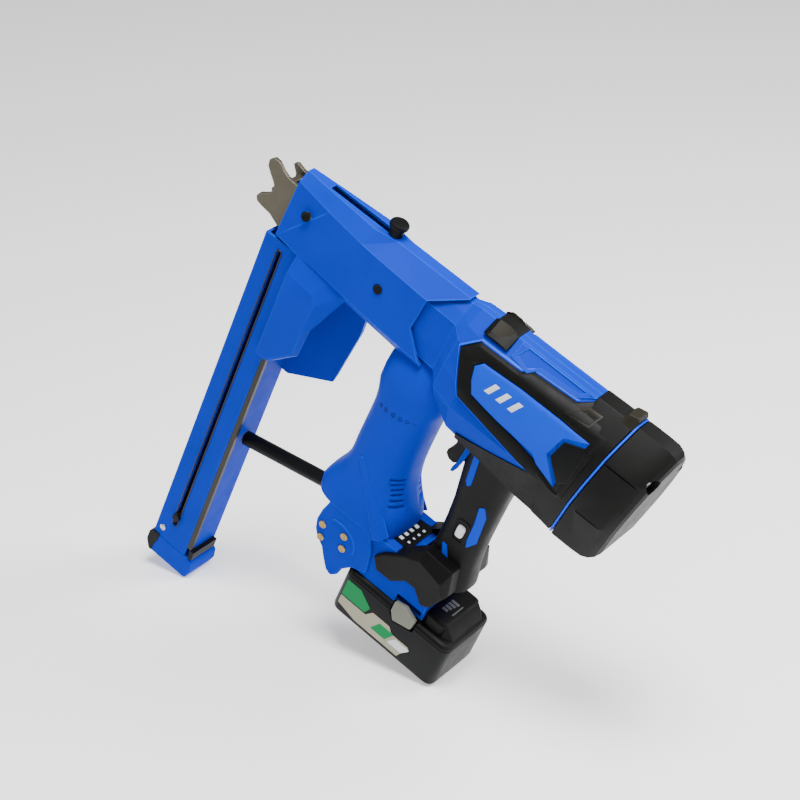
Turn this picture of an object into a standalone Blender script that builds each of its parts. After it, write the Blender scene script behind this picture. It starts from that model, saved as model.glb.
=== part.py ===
"""Cordless construction stapler (clip gun), modelled barrel level and then set down in its resting stance.

Tool axes: +X from the nose to the rear cap, +Y to the tool's right side, +Z up from the magazine foot to the
barrel.  All sizes below are in millimetres in those axes.  The `stance` empty tips the whole tool nose-up, so
that it stands on the magazine foot and on the rear lower edge of the battery, with z = 0 as the floor.
"""
import math

import bmesh
import bpy
from mathutils import Matrix, Vector

MM = 0.001
GAP = 0.3

# Driving dimensions, millimetres.
BARREL_Z = 98.0            # bore axis of the drive cylinder and driver blade
FOOT_Z = -356.0            # underside of the magazine foot
FOOT_X0, FOOT_X1 = -184.0, -128.0
MAG_X0, MAG_X1 = -180.0, -133.0
MAG_HALF = 20.0            # half the magazine's width
MAG_TOP = 76.0
WALL = 2.6                 # moulded wall
COLUMN_X = 12.0            # motor column axis
COLUMN_R = 37.0
BATTERY_X0, BATTERY_X1 = 39.0, 164.0
BATTERY_Z0, BATTERY_Z1 = -228.0, -172.0
BATTERY_HALF = 37.5
SEAM_X = 203.0             # seam between the barrel and its rear cap, at the bore axis
SEAM_LEAN = 0.13           # how far the seam leans back for each millimetre of height
PIVOT_X, PIVOT_Z = 86.0, 24.0   # trigger pin

# The stance: nose raised until the foot's rear edge and the battery's rear edge stand on one level.
STANCE = math.atan2(BATTERY_Z0 - FOOT_Z, BATTERY_X1 - FOOT_X1)

for old in list(bpy.data.objects):
    bpy.data.objects.remove(old, do_unlink=True)

parts = bpy.data.collections.new("clip_gun")
cutters = bpy.data.collections.new("cutters")
bpy.context.scene.collection.children.link(parts)
bpy.context.scene.collection.children.link(cutters)

stance = bpy.data.objects.new("stance", None)
parts.objects.link(stance)


# Materials ------------------------------------------------------------------------------------------------

def material(name, colour, rough, metal=0.0):
    mat = bpy.data.materials.new(name)
    mat.use_nodes = True
    shader = mat.node_tree.nodes["Principled BSDF"]
    shader.inputs["Base Color"].default_value = (*colour, 1.0)
    shader.inputs["Roughness"].default_value = rough
    shader.inputs["Metallic"].default_value = metal
    return mat


BLUE = material("blue_shell", (0.0, 0.075, 0.60), 0.35)
BLACK = material("black_overmould", (0.012, 0.012, 0.013), 0.55)
BLACK_HARD = material("black_plastic", (0.010, 0.010, 0.011), 0.40)
GUNMETAL = material("gunmetal", (0.055, 0.050, 0.040), 0.45, 0.8)
STEEL = material("steel", (0.45, 0.45, 0.46), 0.35, 1.0)
RAIL = material("dark_rail", (0.05, 0.05, 0.052), 0.35, 0.7)
BRASS = material("brass", (0.62, 0.42, 0.12), 0.35, 1.0)
ALLOY = material("alloy", (0.60, 0.61, 0.63), 0.45, 1.0)
LATCH = material("latch_grey", (0.15, 0.155, 0.125), 0.5)
WHITE = material("switch_white", (0.80, 0.82, 0.84), 0.4)
RUBBER = material("rubber", (0.02, 0.02, 0.02), 0.8)
COPPER = material("motor_core", (0.42, 0.20, 0.10), 0.5, 0.8)
BOARD = material("board_green", (0.02, 0.14, 0.06), 0.5)
SEAM_BLUE = material("seam_blue", (0.0, 0.12, 0.95), 0.4)


# Building blocks ------------------------------------------------------------------------------------------

def make(name, mesh, mat=None, cutter=False, origin=(0.0, 0.0, 0.0)):
    """Link a mesh given in metres as a part, or as a cutter, with its origin moved to `origin` (mm)."""
    shift = Vector(origin) * MM
    mesh.transform(Matrix.Translation(-shift))
    obj = bpy.data.objects.new(name, mesh)
    obj.parent = stance
    obj.location = shift
    if cutter:
        cutters.objects.link(obj)
        obj.hide_render = True
        obj.display_type = "WIRE"
    else:
        parts.objects.link(obj)
        mesh.materials.append(mat)
    return obj


def mesh_of(bm, name):
    bmesh.ops.recalc_face_normals(bm, faces=bm.faces)
    mesh = bpy.data.meshes.new(name)
    bm.to_mesh(mesh)
    bm.free()
    return mesh


def box(name, low, high, mat=None, cutter=False, bevel=0.0, origin=(0.0, 0.0, 0.0)):
    """Block between two corners."""
    bm = bmesh.new()
    size = [(high[k] - low[k]) * MM for k in range(3)]
    mid = [(high[k] + low[k]) / 2 * MM for k in range(3)]
    bmesh.ops.create_cube(bm, size=1.0)
    bmesh.ops.scale(bm, vec=size, verts=bm.verts)
    bmesh.ops.translate(bm, vec=mid, verts=bm.verts)
    if bevel:
        bmesh.ops.bevel(bm, geom=bm.edges[:], offset=bevel * MM, segments=1, affect="EDGES")
    return make(name, mesh_of(bm, name), mat, cutter, origin)


def rod(name, start, end, radius, mat=None, cutter=False, sides=20, radius_end=None, origin=(0.0, 0.0, 0.0)):
    """Cylinder, or a cone when radius_end differs, from start to end."""
    a, b = Vector(start) * MM, Vector(end) * MM
    bm = bmesh.new()
    bmesh.ops.create_cone(
        bm, cap_ends=True, segments=sides, depth=(b - a).length,
        radius1=radius * MM, radius2=(radius if radius_end is None else radius_end) * MM)
    turn = (b - a).to_track_quat("Z", "Y").to_matrix().to_4x4()
    bmesh.ops.transform(bm, matrix=Matrix.Translation((a + b) / 2) @ turn, verts=bm.verts)
    obj = make(name, mesh_of(bm, name), mat, cutter, origin)
    if not cutter:
        obj.data.shade_smooth()
        obj.data.set_sharp_from_angle(angle=math.radians(40))
    return obj


def loft(name, stations, mat=None, cutter=False):
    """Solid along X.  A station is (x, lean, [(y, z), ...]), its points listed down the right side."""
    bm = bmesh.new()
    rings = []
    for x, lean, half in stations:
        ring = [(y, z) for y, z in half] + [(-y, z) for y, z in reversed(half)]
        rings.append([bm.verts.new(((x + lean * (z - BARREL_Z)) * MM, y * MM, z * MM)) for y, z in ring])
    count = len(rings[0])
    for near, far in zip(rings, rings[1:]):
        for k in range(count):
            bm.faces.new((near[k], near[(k + 1) % count], far[(k + 1) % count], far[k]))
    bm.faces.new(rings[0])
    bm.faces.new(rings[-1])
    return make(name, mesh_of(bm, name), mat, cutter)


def tower(name, stations, mat=None, cutter=False, sides=20, power=1.0, origin=(0.0, 0.0, 0.0)):
    """Solid along Z.  A station is (z, x, y, rx, ry): a centre and two radii.  A power under 1 squares it."""
    bm = bmesh.new()
    rings = []
    for z, x, y, rx, ry in stations:
        ring = []
        for k in range(sides):
            a = 2 * math.pi * (k + 0.5) / sides
            c, s = math.cos(a), math.sin(a)
            ring.append(bm.verts.new((
                (x + rx * math.copysign(abs(c) ** power, c)) * MM,
                (y + ry * math.copysign(abs(s) ** power, s)) * MM, z * MM)))
        rings.append(ring)
    for near, far in zip(rings, rings[1:]):
        for k in range(sides):
            bm.faces.new((near[k], near[(k + 1) % sides], far[(k + 1) % sides], far[k]))
    bm.faces.new(rings[0])
    bm.faces.new(rings[-1])
    obj = make(name, mesh_of(bm, name), mat, cutter, origin)
    if not cutter:
        obj.data.shade_smooth()
        obj.data.set_sharp_from_angle(angle=math.radians(40))
    return obj


def plate(name, outline, y0, y1, mat=None, cutter=False, origin=(0.0, 0.0, 0.0)):
    """Flat outline of (x, z) points in the side view, thick from y0 to y1, made from a filled 2D curve."""
    curve = bpy.data.curves.new(name, "CURVE")
    curve.dimensions = "2D"
    curve.fill_mode = "BOTH"
    curve.extrude = abs(y1 - y0) / 2 * MM
    spline = curve.splines.new("POLY")
    spline.points.add(len(outline) - 1)
    for point, (x, z) in zip(spline.points, outline):
        point.co = (x * MM, z * MM, 0.0, 1.0)
    spline.use_cyclic_u = True
    guide = bpy.data.objects.new(name + "_curve", curve)
    bpy.context.scene.collection.objects.link(guide)
    guide.rotation_euler = (math.radians(90), 0.0, 0.0)
    guide.location = (0.0, (y0 + y1) / 2 * MM, 0.0)
    bpy.context.view_layer.update()
    graph = bpy.context.evaluated_depsgraph_get()
    mesh = bpy.data.meshes.new_from_object(guide.evaluated_get(graph))
    mesh.transform(guide.matrix_world)
    bpy.data.objects.remove(guide, do_unlink=True)
    bm = bmesh.new()
    bm.from_mesh(mesh)
    bmesh.ops.remove_doubles(bm, verts=bm.verts, dist=0.000005)
    bmesh.ops.recalc_face_normals(bm, faces=bm.faces)
    bm.to_mesh(mesh)
    bm.free()
    return make(name, mesh, mat, cutter, origin)


def cut(obj, cutter, mode="DIFFERENCE"):
    """Exact Boolean, left live on the part."""
    mod = obj.modifiers.new(mode.lower(), "BOOLEAN")
    mod.operation = mode
    mod.object = cutter
    return obj


def ring_along_x(name, x0, x1, outer, inner, mat, z=BARREL_Z, sides=28):
    """Tube along the bore axis, turned with a Screw modifier from its wall's section."""
    mesh = bpy.data.meshes.new(name)
    section = [(outer, x1), (outer, x0), (inner, x0), (inner, x1)]
    mesh.from_pydata([(r * MM, 0.0, x * MM) for r, x in section], [(k, (k + 1) % 4) for k in range(4)], [])
    obj = bpy.data.objects.new(name, mesh)
    parts.objects.link(obj)
    obj.parent = stance
    obj.rotation_euler = (0.0, math.radians(90), 0.0)
    obj.location = (0.0, 0.0, z * MM)
    turn = obj.modifiers.new("turn", "SCREW")
    turn.steps = turn.render_steps = sides
    turn.use_merge_vertices = True
    turn.merge_threshold = 0.00001
    mesh.materials.append(mat)
    return obj


LEFT_SIDE = box("cut_left_side", (-400, -GAP / 2, -500), (400, 200, 400), cutter=True)
RIGHT_SIDE = box("cut_right_side", (-400, -200, -500), (400, GAP / 2, 400), cutter=True)


def halves(name, build, carve=()):
    """Left and right mouldings of one shell: `build` makes the whole, and the other half is cut away."""
    made = []
    for side, remover in (("left", LEFT_SIDE), ("right", RIGHT_SIDE)):
        obj = build(f"{name}_{side}")
        for cutter in carve:
            cut(obj, cutter)
        cut(obj, remover)
        made.append(obj)
    return made


# Barrel sections ------------------------------------------------------------------------------------------
# Each section runs from the top flat, over the upper facets and the side, to the bottom flat.

def cover_section(top, side, low, bottom, z_side, z_low, z_bottom, shrink=0.0):
    points = [(top, 148.0), (side, z_side), (low, z_low), (bottom, z_bottom)]
    return inset(points, shrink)


def barrel_section(z_bottom, grow=0.0):
    """Twelve-sided section of the main housing and the rear cap."""
    points = [(8.0, 148.0), (26.0, 132.5), (35.0, 121.5), (43.0, 92.5), (44.5, 68.0), (30.0, z_bottom)]
    return inset(points, -grow)


def inset(points, wall):
    """Move a section's points inwards by about `wall`, or outwards when it is negative."""
    z_mid = (points[0][1] + points[-1][1]) / 2
    z_half = (points[0][1] - points[-1][1]) / 2
    widest = max(y for y, _ in points)
    return [(y * (1 - wall / widest), z_mid + (z - z_mid) * (1 - wall / z_half)) for y, z in points]


# Front cover and nose -------------------------------------------------------------------------------------

COLUMN = [(70.0, COLUMN_X, 0, 30.0, 22.0), (54.0, COLUMN_X, 0, 36.0, 31.0),
          (-8.0, COLUMN_X, 0, COLUMN_R, COLUMN_R - 3),
          (-60.0, COLUMN_X, 0, COLUMN_R - 1, COLUMN_R - 3), (-84.0, COLUMN_X + 1, 0, 39.5, 36.0),
          (-108.0, COLUMN_X + 4, 0, 47.0, 37.0)]
column_way = tower("cut_column_way", [
    (z + (0.5 if k == 0 else 0), x, y, rx + 0.6, ry + 0.6) for k, (z, x, y, rx, ry) in enumerate(COLUMN)],
    cutter=True, sides=24)
COVER = [   # x, wall, then top, side, low and bottom half-widths, then the heights of the last three
    (-170.0, 1.5, (4.0, 13.0, 20.5, 16.0, 139.0, 80.0, 72.0)),
    (-128.0, 2.0, (8.3, 18.8, 23.5, 18.0, 136.3, 78.5, 69.0)),
    (-84.0, WALL, (12.0, 24.0, 26.0, 19.0, 134.5, 77.0, 67.0)),
    (-60.0, WALL, (6.5, 25.2, 28.0, 19.5, 133.5, 76.0, 65.0)),
    (30.0, WALL, (6.5, 27.5, 32.0, 20.5, 130.5, 73.0, 58.0)),
]
cover_cavity = loft("cut_cover_cavity", [
    (x - 2.0 if k == 0 else x + 1.0 if k == len(COVER) - 1 else x, 0.0, cover_section(*s, shrink=wall))
    for k, (x, wall, s) in enumerate(COVER)], cutter=True)
cover_lip = plate("cut_cover_lip", [
    (24, 170), (24, 147), (-5, 131.5), (-8, 97), (15, 71), (8, 40), (60, 40), (60, 170)],
    -60, 60, cutter=True)
top_slot = box("cut_top_slot", (-143, -4.2, 140), (-64, 4.2, 155), cutter=True)
magazine_window = box("cut_magazine_window", (-185, -20.6, 50), (-127, 20.6, 80), cutter=True)

front_cover = loft("front_cover", [(x, 0.0, cover_section(*s)) for x, _, s in COVER], BLUE)
for cutter in (cover_cavity, cover_lip, column_way, top_slot, magazine_window):
    cut(front_cover, cutter)

SCREWS = {"cover_screw_front": (-147.0, 118.0, -17.0), "cover_screw_rear": (-52.0, 108.0, -23.5)}
for screw, (x, z, y_head) in SCREWS.items():
    cut(front_cover, rod(f"cut_{screw}", (x, -60, z), (x, -10, z), 4.0, cutter=True, sides=14))
    rod(screw, (x, y_head, z), (x, -13.0, z), 3.6, GUNMETAL, sides=12)

nose_guide = box("nose_guide", (-165.0, -8.8, 86.0), (-16.0, 8.8, 126.0), ALLOY, bevel=1.0)
cut(nose_guide, box("cut_blade_way", (-170, -6.6, BARREL_Z - 2.4), (0, 6.6, BARREL_Z + 2.4), cutter=True))
cut(nose_guide, box("cut_staple_way", (-161, -6.0, 80.0), (-146, 6.0, BARREL_Z), cutter=True))

NOSE_PLATE = [
    (-188.5, 119.5), (-191.5, 111.5), (-197.5, 105.5), (-204.0, 99.0), (-205.5, 94.0), (-203.0, 91.0),
    (-198.0, 90.0), (-187.0, 88.5), (-176.0, 82.5), (-152.0, 82.5), (-152.0, 132.5), (-181.0, 132.5)]
UPPER_PRONG = [
    (-184.0, 136.0), (-199.0, 141.0), (-204.0, 138.0), (-204.0, 131.0), (-196.5, 127.5), (-190.5, 124.0)]
SHORT_PRONG = [(-187.0, 133.5), (-193.5, 135.0), (-190.5, 127.0)]
nose_contact = plate("nose_contact", NOSE_PLATE + UPPER_PRONG, -11.9, -9.1, GUNMETAL)
cut(nose_contact, plate("add_far_prong", NOSE_PLATE + SHORT_PRONG, 9.1, 11.9, cutter=True), "UNION")
cut(nose_contact, box("add_nose_bridge", (-158, -11.0, 127.0), (-152.5, 11.0, 132.3), cutter=True), "UNION")
cut(nose_contact, box("add_nose_tie", (-184.0, -11.0, 118.0), (-178.0, 11.0, 129.0), cutter=True), "UNION")


def spring(name, start, end, radius, wire, turns, mat, steps=9):
    """Open coil of round wire from start to end, as a polyline curve made into a mesh."""
    a, b = Vector(start), Vector(end)
    frame = (b - a).to_track_quat("Z", "Y")
    curve = bpy.data.curves.new(name, "CURVE")
    curve.dimensions = "3D"
    curve.bevel_depth = wire * MM
    curve.bevel_resolution = 1
    curve.use_fill_caps = True
    spline = curve.splines.new("POLY")
    total = turns * steps
    spline.points.add(total)
    for k in range(total + 1):
        t = k / total
        turn = 2 * math.pi * turns * t
        p = a + frame @ Vector((radius * math.cos(turn), radius * math.sin(turn), (b - a).length * t))
        spline.points[k].co = (*(p * MM), 1.0)
    guide = bpy.data.objects.new(name + "_curve", curve)
    bpy.context.scene.collection.objects.link(guide)
    graph = bpy.context.evaluated_depsgraph_get()
    mesh = bpy.data.meshes.new_from_object(guide.evaluated_get(graph))
    bpy.data.objects.remove(guide, do_unlink=True)
    bm = bmesh.new()
    bm.from_mesh(mesh)
    bmesh.ops.remove_doubles(bm, verts=bm.verts, dist=0.000005)
    bmesh.ops.recalc_face_normals(bm, faces=bm.faces)
    bm.to_mesh(mesh)
    bm.free()
    return make(name, mesh, mat)


spring("contact_spring", (-151.0, 0.0, 130.3), (-128.0, 0.0, 130.3), 3.0, 0.5, 6, STEEL)
cut(nose_guide, box("add_spring_stop", (-127.0, -5.0, 125.0), (-123.0, 5.0, 134.0), cutter=True), "UNION")

# Slot knob: slider under the cover, neck through the slot, and a mushroom head above it.
KNOB_X = -69.0
slot_knob = box("slot_knob", (KNOB_X - 9, -6.5, 138.0), (KNOB_X + 9, 6.5, 143.6), BLACK,
                origin=(KNOB_X, 0, 144))
cut(slot_knob, rod("add_knob_neck", (KNOB_X, 0, 142), (KNOB_X, 0, 150), 3.7, cutter=True, sides=14), "UNION")
cut(slot_knob, rod("add_knob_stem", (KNOB_X, 0, 148.5), (KNOB_X, 0, 157.5), 6.6, cutter=True, sides=20,
                   radius_end=6.2), "UNION")
cut(slot_knob, rod("add_knob_head", (KNOB_X, 0, 156.5), (KNOB_X, 0, 161.5), 9.0, cutter=True, sides=24,
                   radius_end=8.0), "UNION")

# Magazine -------------------------------------------------------------------------------------------------

MAG_BOTTOM = -330.0
magazine_left = box("magazine_left", (MAG_X0, -MAG_HALF, MAG_BOTTOM), (MAG_X1 - 4.6, 0.0, MAG_TOP), BLUE)
cut(magazine_left, box("cut_mag_left", (MAG_X0 + WALL, -MAG_HALF + WALL, MAG_BOTTOM - 5), (0, 5, 90),
                       cutter=True))
cut(magazine_left, box("cut_mag_slot", (-162.4, -25, -304.0), (-157.6, -15, 66.0), cutter=True))

magazine_right = box("magazine_right", (MAG_X0, GAP, MAG_BOTTOM), (MAG_X1, MAG_HALF, MAG_TOP), BLUE)
cut(magazine_right, box("add_mag_back", (MAG_X1 - WALL, -MAG_HALF + 4.3, MAG_BOTTOM), (MAG_X1, 10, MAG_TOP),
                        cutter=True), "UNION")
cut(magazine_right, box("cut_mag_right", (MAG_X0 + WALL, -30, MAG_BOTTOM - 5),
                        (MAG_X1 - WALL, MAG_HALF - WALL, 90), cutter=True))

box("magazine_rail", (MAG_X1 - 4.2, -MAG_HALF, -318), (MAG_X1 + 1.0, -MAG_HALF + 4.0, 60), RAIL)
box("staple_core", (-160.0, -5.0, -329.0), (-147.0, 5.0, 84.0), STEEL)

PUSHER_Z = -300.0
pusher = box("pusher", (-170.0, -12.0, PUSHER_Z), (-143.0, 12.0, PUSHER_Z + 26), BLACK_HARD,
             origin=(-160, 0, PUSHER_Z))
cut(pusher, box("cut_pusher_core", (-160.6, -5.6, PUSHER_Z - 5), (-146.4, 5.6, PUSHER_Z + 40), cutter=True))
cut(pusher, box("add_pusher_tab", (-161.6, -23.0, PUSHER_Z + 2), (-158.4, -11.0, PUSHER_Z + 14),
                cutter=True), "UNION")
cut(pusher, rod("add_pusher_button", (-160, -20.6, PUSHER_Z + 8), (-160, -23.6, PUSHER_Z + 8), 4.4,
                cutter=True, sides=16), "UNION")
cut(pusher, box("cut_pusher_spring", (-158, 7.0, PUSHER_Z + 4), (-146, 13, PUSHER_Z + 30), cutter=True))
rod("pusher_spring", (-152, 7.6, PUSHER_Z + 15), (-152, 16.0, PUSHER_Z + 15), 5.0, STEEL, sides=18)

foot = plate("magazine_foot", [
    (FOOT_X0, -346), (FOOT_X0 + 6, FOOT_Z), (FOOT_X1, FOOT_Z), (FOOT_X1 + 3.5, -345),
    (FOOT_X1 + 2, -334.5), (FOOT_X1 - 6, MAG_BOTTOM - GAP), (MAG_X0 - 1, MAG_BOTTOM - GAP), (FOOT_X0, -334)],
    -MAG_HALF - 1, MAG_HALF + 1, BLUE)
cut(foot, plate("cut_foot_corner", [(-190, -330), (-171.5, -330), (-174.0, -348), (-174, -360), (-190, -360)],
                -25, -12, cutter=True))
plate("foot_corner", [(-183.7, -334.5), (-180.2, MAG_BOTTOM - GAP), (-172, MAG_BOTTOM - GAP),
                      (-174.3, -347.6), (-174.3, -355.7), (-178, -355.7), (-183.7, -346)],
      -MAG_HALF - 1, -12.3, BLACK_HARD)
box("magazine_end_block", (MAG_X1 + GAP, -MAG_HALF, -329.7), (FOOT_X1, MAG_HALF - 3, -319), BLACK_HARD)

plate("magazine_bracket_left", [
    (-142, 66), (-82, 66), (-84, 64), (-101, 50), (-103.5, 15), (-105, -17), (-128, -40), (-142, -40)],
    -MAG_HALF - 9.5, -MAG_HALF - GAP, BLUE)
plate("magazine_bracket_right", [
    (-142, 66), (-73, 66), (-72, 12), (-80, -52), (-126, -80), (-142, -80)],
    MAG_HALF + GAP, MAG_HALF + 10, BLUE)

# Main housing ---------------------------------------------------------------------------------------------

HOUSING = [
    (-14.0, [(5.0, 143.8), (14.0, 136.6), (22.0, 128.0), (24.2, 95.0), (25.0, 77.0), (16.5, 66.5)]),
    (27.0, [(5.0, 144.2), (14.5, 136.6), (23.0, 127.5), (26.4, 95.0), (27.4, 76.5), (16.5, 63.5)]),
    (38.0, [(7.0, 147.5), (22.0, 134.5), (31.0, 123.0), (37.0, 94.0), (38.0, 70.0), (25.0, 50.0)]),
    (62.0, barrel_section(36.0)), (118.0, barrel_section(30.0)), (168.0, barrel_section(28.0))]


def housing_loft(name, grow=0.0, mat=None, cutter=False):
    ends = 4.0 if grow < -1 else 0.0
    last = len(HOUSING) - 1
    return loft(name, [
        (x - ends if k == 0 else x + ends if k == last else x, 0.0, inset(points, -grow))
        for k, (x, points) in enumerate(HOUSING)], mat, cutter)


housing_cavity = housing_loft("cut_housing_cavity", -WALL, cutter=True)
handle_way = box("cut_handle_way", (80, -20.4, -20), (143, 20.4, 40), cutter=True)
trigger_way = box("cut_trigger_way", (54, -10.5, -20), (79, 10.5, 60), cutter=True)
halves("housing", lambda name: housing_loft(name, mat=BLUE),
       (housing_cavity, column_way, handle_way, trigger_way))

FRAME_OUTER = [(44, 118), (56, 131), (102, 132), (109, 136.5), (167.5, 136.5), (167.5, 69), (156, 69),
               (99, 81), (62, 88.5), (46, 104)]
FRAME_INNER = [(64, 102), (64, 116), (69, 122.5), (112, 124.5), (169, 124.5), (169, 80), (157, 87),
               (98, 93), (75, 96)]
frame_back = housing_loft("cut_frame_back", 0.34, cutter=True)
for side, sign in (("left", -1), ("right", 1)):
    frame = housing_loft(f"side_frame_{side}", 2.3, mat=BLACK)
    cut(frame, plate(f"keep_frame_{side}", FRAME_OUTER, *sorted((sign * 16, sign * 70)), cutter=True),
        "INTERSECT")
    cut(frame, frame_back)
    cut(frame, plate(f"cut_frame_{side}", FRAME_INNER, *sorted((sign * 10, sign * 80)), cutter=True))

top_bumper = loft("top_bumper", [
    (46.0, 0.0, [(6.0, 149.6), (11.0, 146.5), (20.0, 139.0), (19.0, 137.0)]),
    (56.0, 0.0, [(7.0, 153.0), (13.0, 149.0), (22.5, 139.5), (21.5, 136.0)]),
    (70.0, 0.0, [(7.0, 153.0), (13.0, 148.5), (22.5, 139.0), (21.5, 136.0)]),
    (82.0, 0.0, [(5.0, 149.6), (9.0, 147.8), (12.0, 145.4), (11.0, 144.4)])], BLACK)
cut(top_bumper, frame_back)

# Rear of the barrel: black band, seam gasket and cap.

rear_band = loft("rear_band", [
    (168.4, 0.0, barrel_section(28.0, 1.0)), (SEAM_X - 1.0, SEAM_LEAN, barrel_section(28.0, 1.6))], BLACK)
cut(rear_band, loft("cut_rear_band", [
    (160.0, 0.0, barrel_section(28.0, -WALL)), (215.0, SEAM_LEAN, barrel_section(28.0, -WALL))], cutter=True))
cut(rear_band, box("add_top_ridge", (194, -12, 147), (208.0, 12, 153.8), cutter=True), "UNION")

gasket = loft("seam_gasket", [
    (SEAM_X - 0.7, SEAM_LEAN, barrel_section(28.0, 0.8)),
    (SEAM_X + 0.7, SEAM_LEAN, barrel_section(28.0, 0.8))], SEAM_BLUE)
cut(gasket, loft("cut_gasket", [
    (SEAM_X - 5, SEAM_LEAN, barrel_section(28.0, -1.6)),
    (SEAM_X + 5, SEAM_LEAN, barrel_section(28.0, -1.6))], cutter=True))

rear_cap = loft("rear_cap", [
    (SEAM_X + 1.0, SEAM_LEAN, barrel_section(28.0, 1.6)), (237.5, SEAM_LEAN, barrel_section(28.0, 1.6)),
    (249.5, SEAM_LEAN, barrel_section(28.0, -5.0))], BLACK)
cut(rear_cap, loft("cut_rear_cap", [
    (SEAM_X - 3.0, SEAM_LEAN, barrel_section(28.0, -WALL)), (235.5, SEAM_LEAN, barrel_section(28.0, -WALL)),
    (244.5, SEAM_LEAN, barrel_section(28.0, -8.0))], cutter=True))
for side, sign in (("left", -1), ("right", 1)):
    cut(rear_cap, rod(f"cut_cap_screw_{side}", (242, sign * 25, 122), (275, sign * 25, 122), 5.2, cutter=True,
                      sides=14))
    rod(f"cap_screw_{side}", (242.3, sign * 25, 122), (249.0, sign * 25, 122), 4.6, STEEL, sides=14)

# Drive: air cylinder, piston with its blade, bumper, lifter wheel.

PISTON_X = 168.0
cylinder = ring_along_x("drive_cylinder", 60.0, 226.0, 31.0, 28.0, ALLOY)
ring_along_x("piston_bumper", 62.0, 78.0, 27.6, 11.0, RUBBER, sides=24)
piston = rod("piston", (PISTON_X, 0, BARREL_Z), (PISTON_X + 20, 0, BARREL_Z), 27.6, ALLOY, sides=28,
             origin=(PISTON_X, 0, BARREL_Z))
blade = box("driver_blade", (-62.0, -6.0, BARREL_Z - 1.8), (PISTON_X - GAP, 6.0, BARREL_Z + 1.8), STEEL,
            origin=(PISTON_X, 0, BARREL_Z))
for k in range(6):
    x = 4.0 + 16.0 * k
    cut(blade, box(f"cut_blade_notch_{k}", (x, -9, BARREL_Z - 4), (x + 8, -3.2, BARREL_Z + 4), cutter=True))

LIFTER_Z = 76.0
lifter = rod("lifter_wheel", (COLUMN_X, -5, LIFTER_Z), (COLUMN_X, 5, LIFTER_Z), 16.0, STEEL, sides=24,
             origin=(COLUMN_X, 0, LIFTER_Z))
cut(lifter, rod("add_lifter_shaft", (COLUMN_X, -19, LIFTER_Z), (COLUMN_X, 19, LIFTER_Z), 4.0, cutter=True,
                sides=14), "UNION")
for k in range(5):
    a = math.radians(100 + 50 * k)
    px, pz = COLUMN_X + 12.5 * math.cos(a), LIFTER_Z + 12.5 * math.sin(a)
    cut(lifter, rod(f"add_lifter_pin_{k}", (px, -8.5, pz), (px, 0, pz), 2.2, cutter=True, sides=8), "UNION")

# Motor column ---------------------------------------------------------------------------------------------

column_cavity = tower("cut_column_cavity", [
    (z + (4 if k == 0 else -4 if k == len(COLUMN) - 1 else 0), x, y, rx - WALL, ry - WALL)
    for k, (z, x, y, rx, ry) in enumerate(COLUMN)], cutter=True, sides=24)
halves("motor_housing", lambda name: tower(name, COLUMN, BLUE, sides=24), (column_cavity,))

rod("gearbox", (COLUMN_X, 0, 26), (COLUMN_X, 0, 52), 26.0, ALLOY, sides=24)
stator = rod("motor_stator", (COLUMN_X, 0, -60), (COLUMN_X, 0, 18), 28.0, COPPER, sides=24)
cut(stator, rod("cut_stator_bore", (COLUMN_X, 0, -70), (COLUMN_X, 0, 30), 17.0, cutter=True, sides=24))
rotor = rod("motor_rotor", (COLUMN_X, 0, -58), (COLUMN_X, 0, 16), 16.0, STEEL, sides=24,
            origin=(COLUMN_X, 0, 0))
cut(rotor, rod("add_rotor_shaft", (COLUMN_X, 0, -84), (COLUMN_X, 0, 24), 4.0, cutter=True, sides=14), "UNION")
cut(rotor, rod("add_rotor_fan", (COLUMN_X, 0, -80), (COLUMN_X, 0, -70), 25.0, cutter=True, sides=20), "UNION")

# Base -----------------------------------------------------------------------------------------------------

BASE_HALF = 33.0
BASE_OUTLINE = [
    (-12, -108.6), (117.0, -108.6), (135.0, -124), (124, -146), (124, -171.6), (20, -171.6), (-4, -150)]
base_cavity = plate("cut_base_cavity", [
    (-5, -112), (40, -126.5), (130, -126.5), (121, -145.5), (121, -169), (22, -169), (-1, -149)],
    -BASE_HALF + WALL, BASE_HALF - WALL, cutter=True)
display_seat = box("cut_display_seat", (57.0, -17.0, -123.0), (75.0, 17.0, -100), cutter=True)
base_step = plate("cut_base_step", [(54, -120.0), (84, -120.0), (88, -112), (88, -100), (50, -100)], -60, 60,
                  cutter=True)
handle_socket = box("cut_handle_socket", (89.5, -20.4, -123.6), (143, 20.4, -100), cutter=True)
latch_ways = [box(f"cut_base_latch_{side}", (92.0, min(a, b), -180.0), (130.0, max(a, b), -160.0),
                  cutter=True)
              for side, a, b in (("left", -29.5, -60.0), ("right", 29.5, 60.0))]
halves("base", lambda name: plate(name, BASE_OUTLINE, -BASE_HALF, BASE_HALF, BLUE),
       (base_cavity, base_step, display_seat, handle_socket, *latch_ways))

box("display_panel", (57.4, -16.6, -122.6), (74.6, 16.6, -119.4), BLACK_HARD, bevel=0.6)
box("control_board", (40, -24, -160), (112, 24, -157), BOARD)

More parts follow.
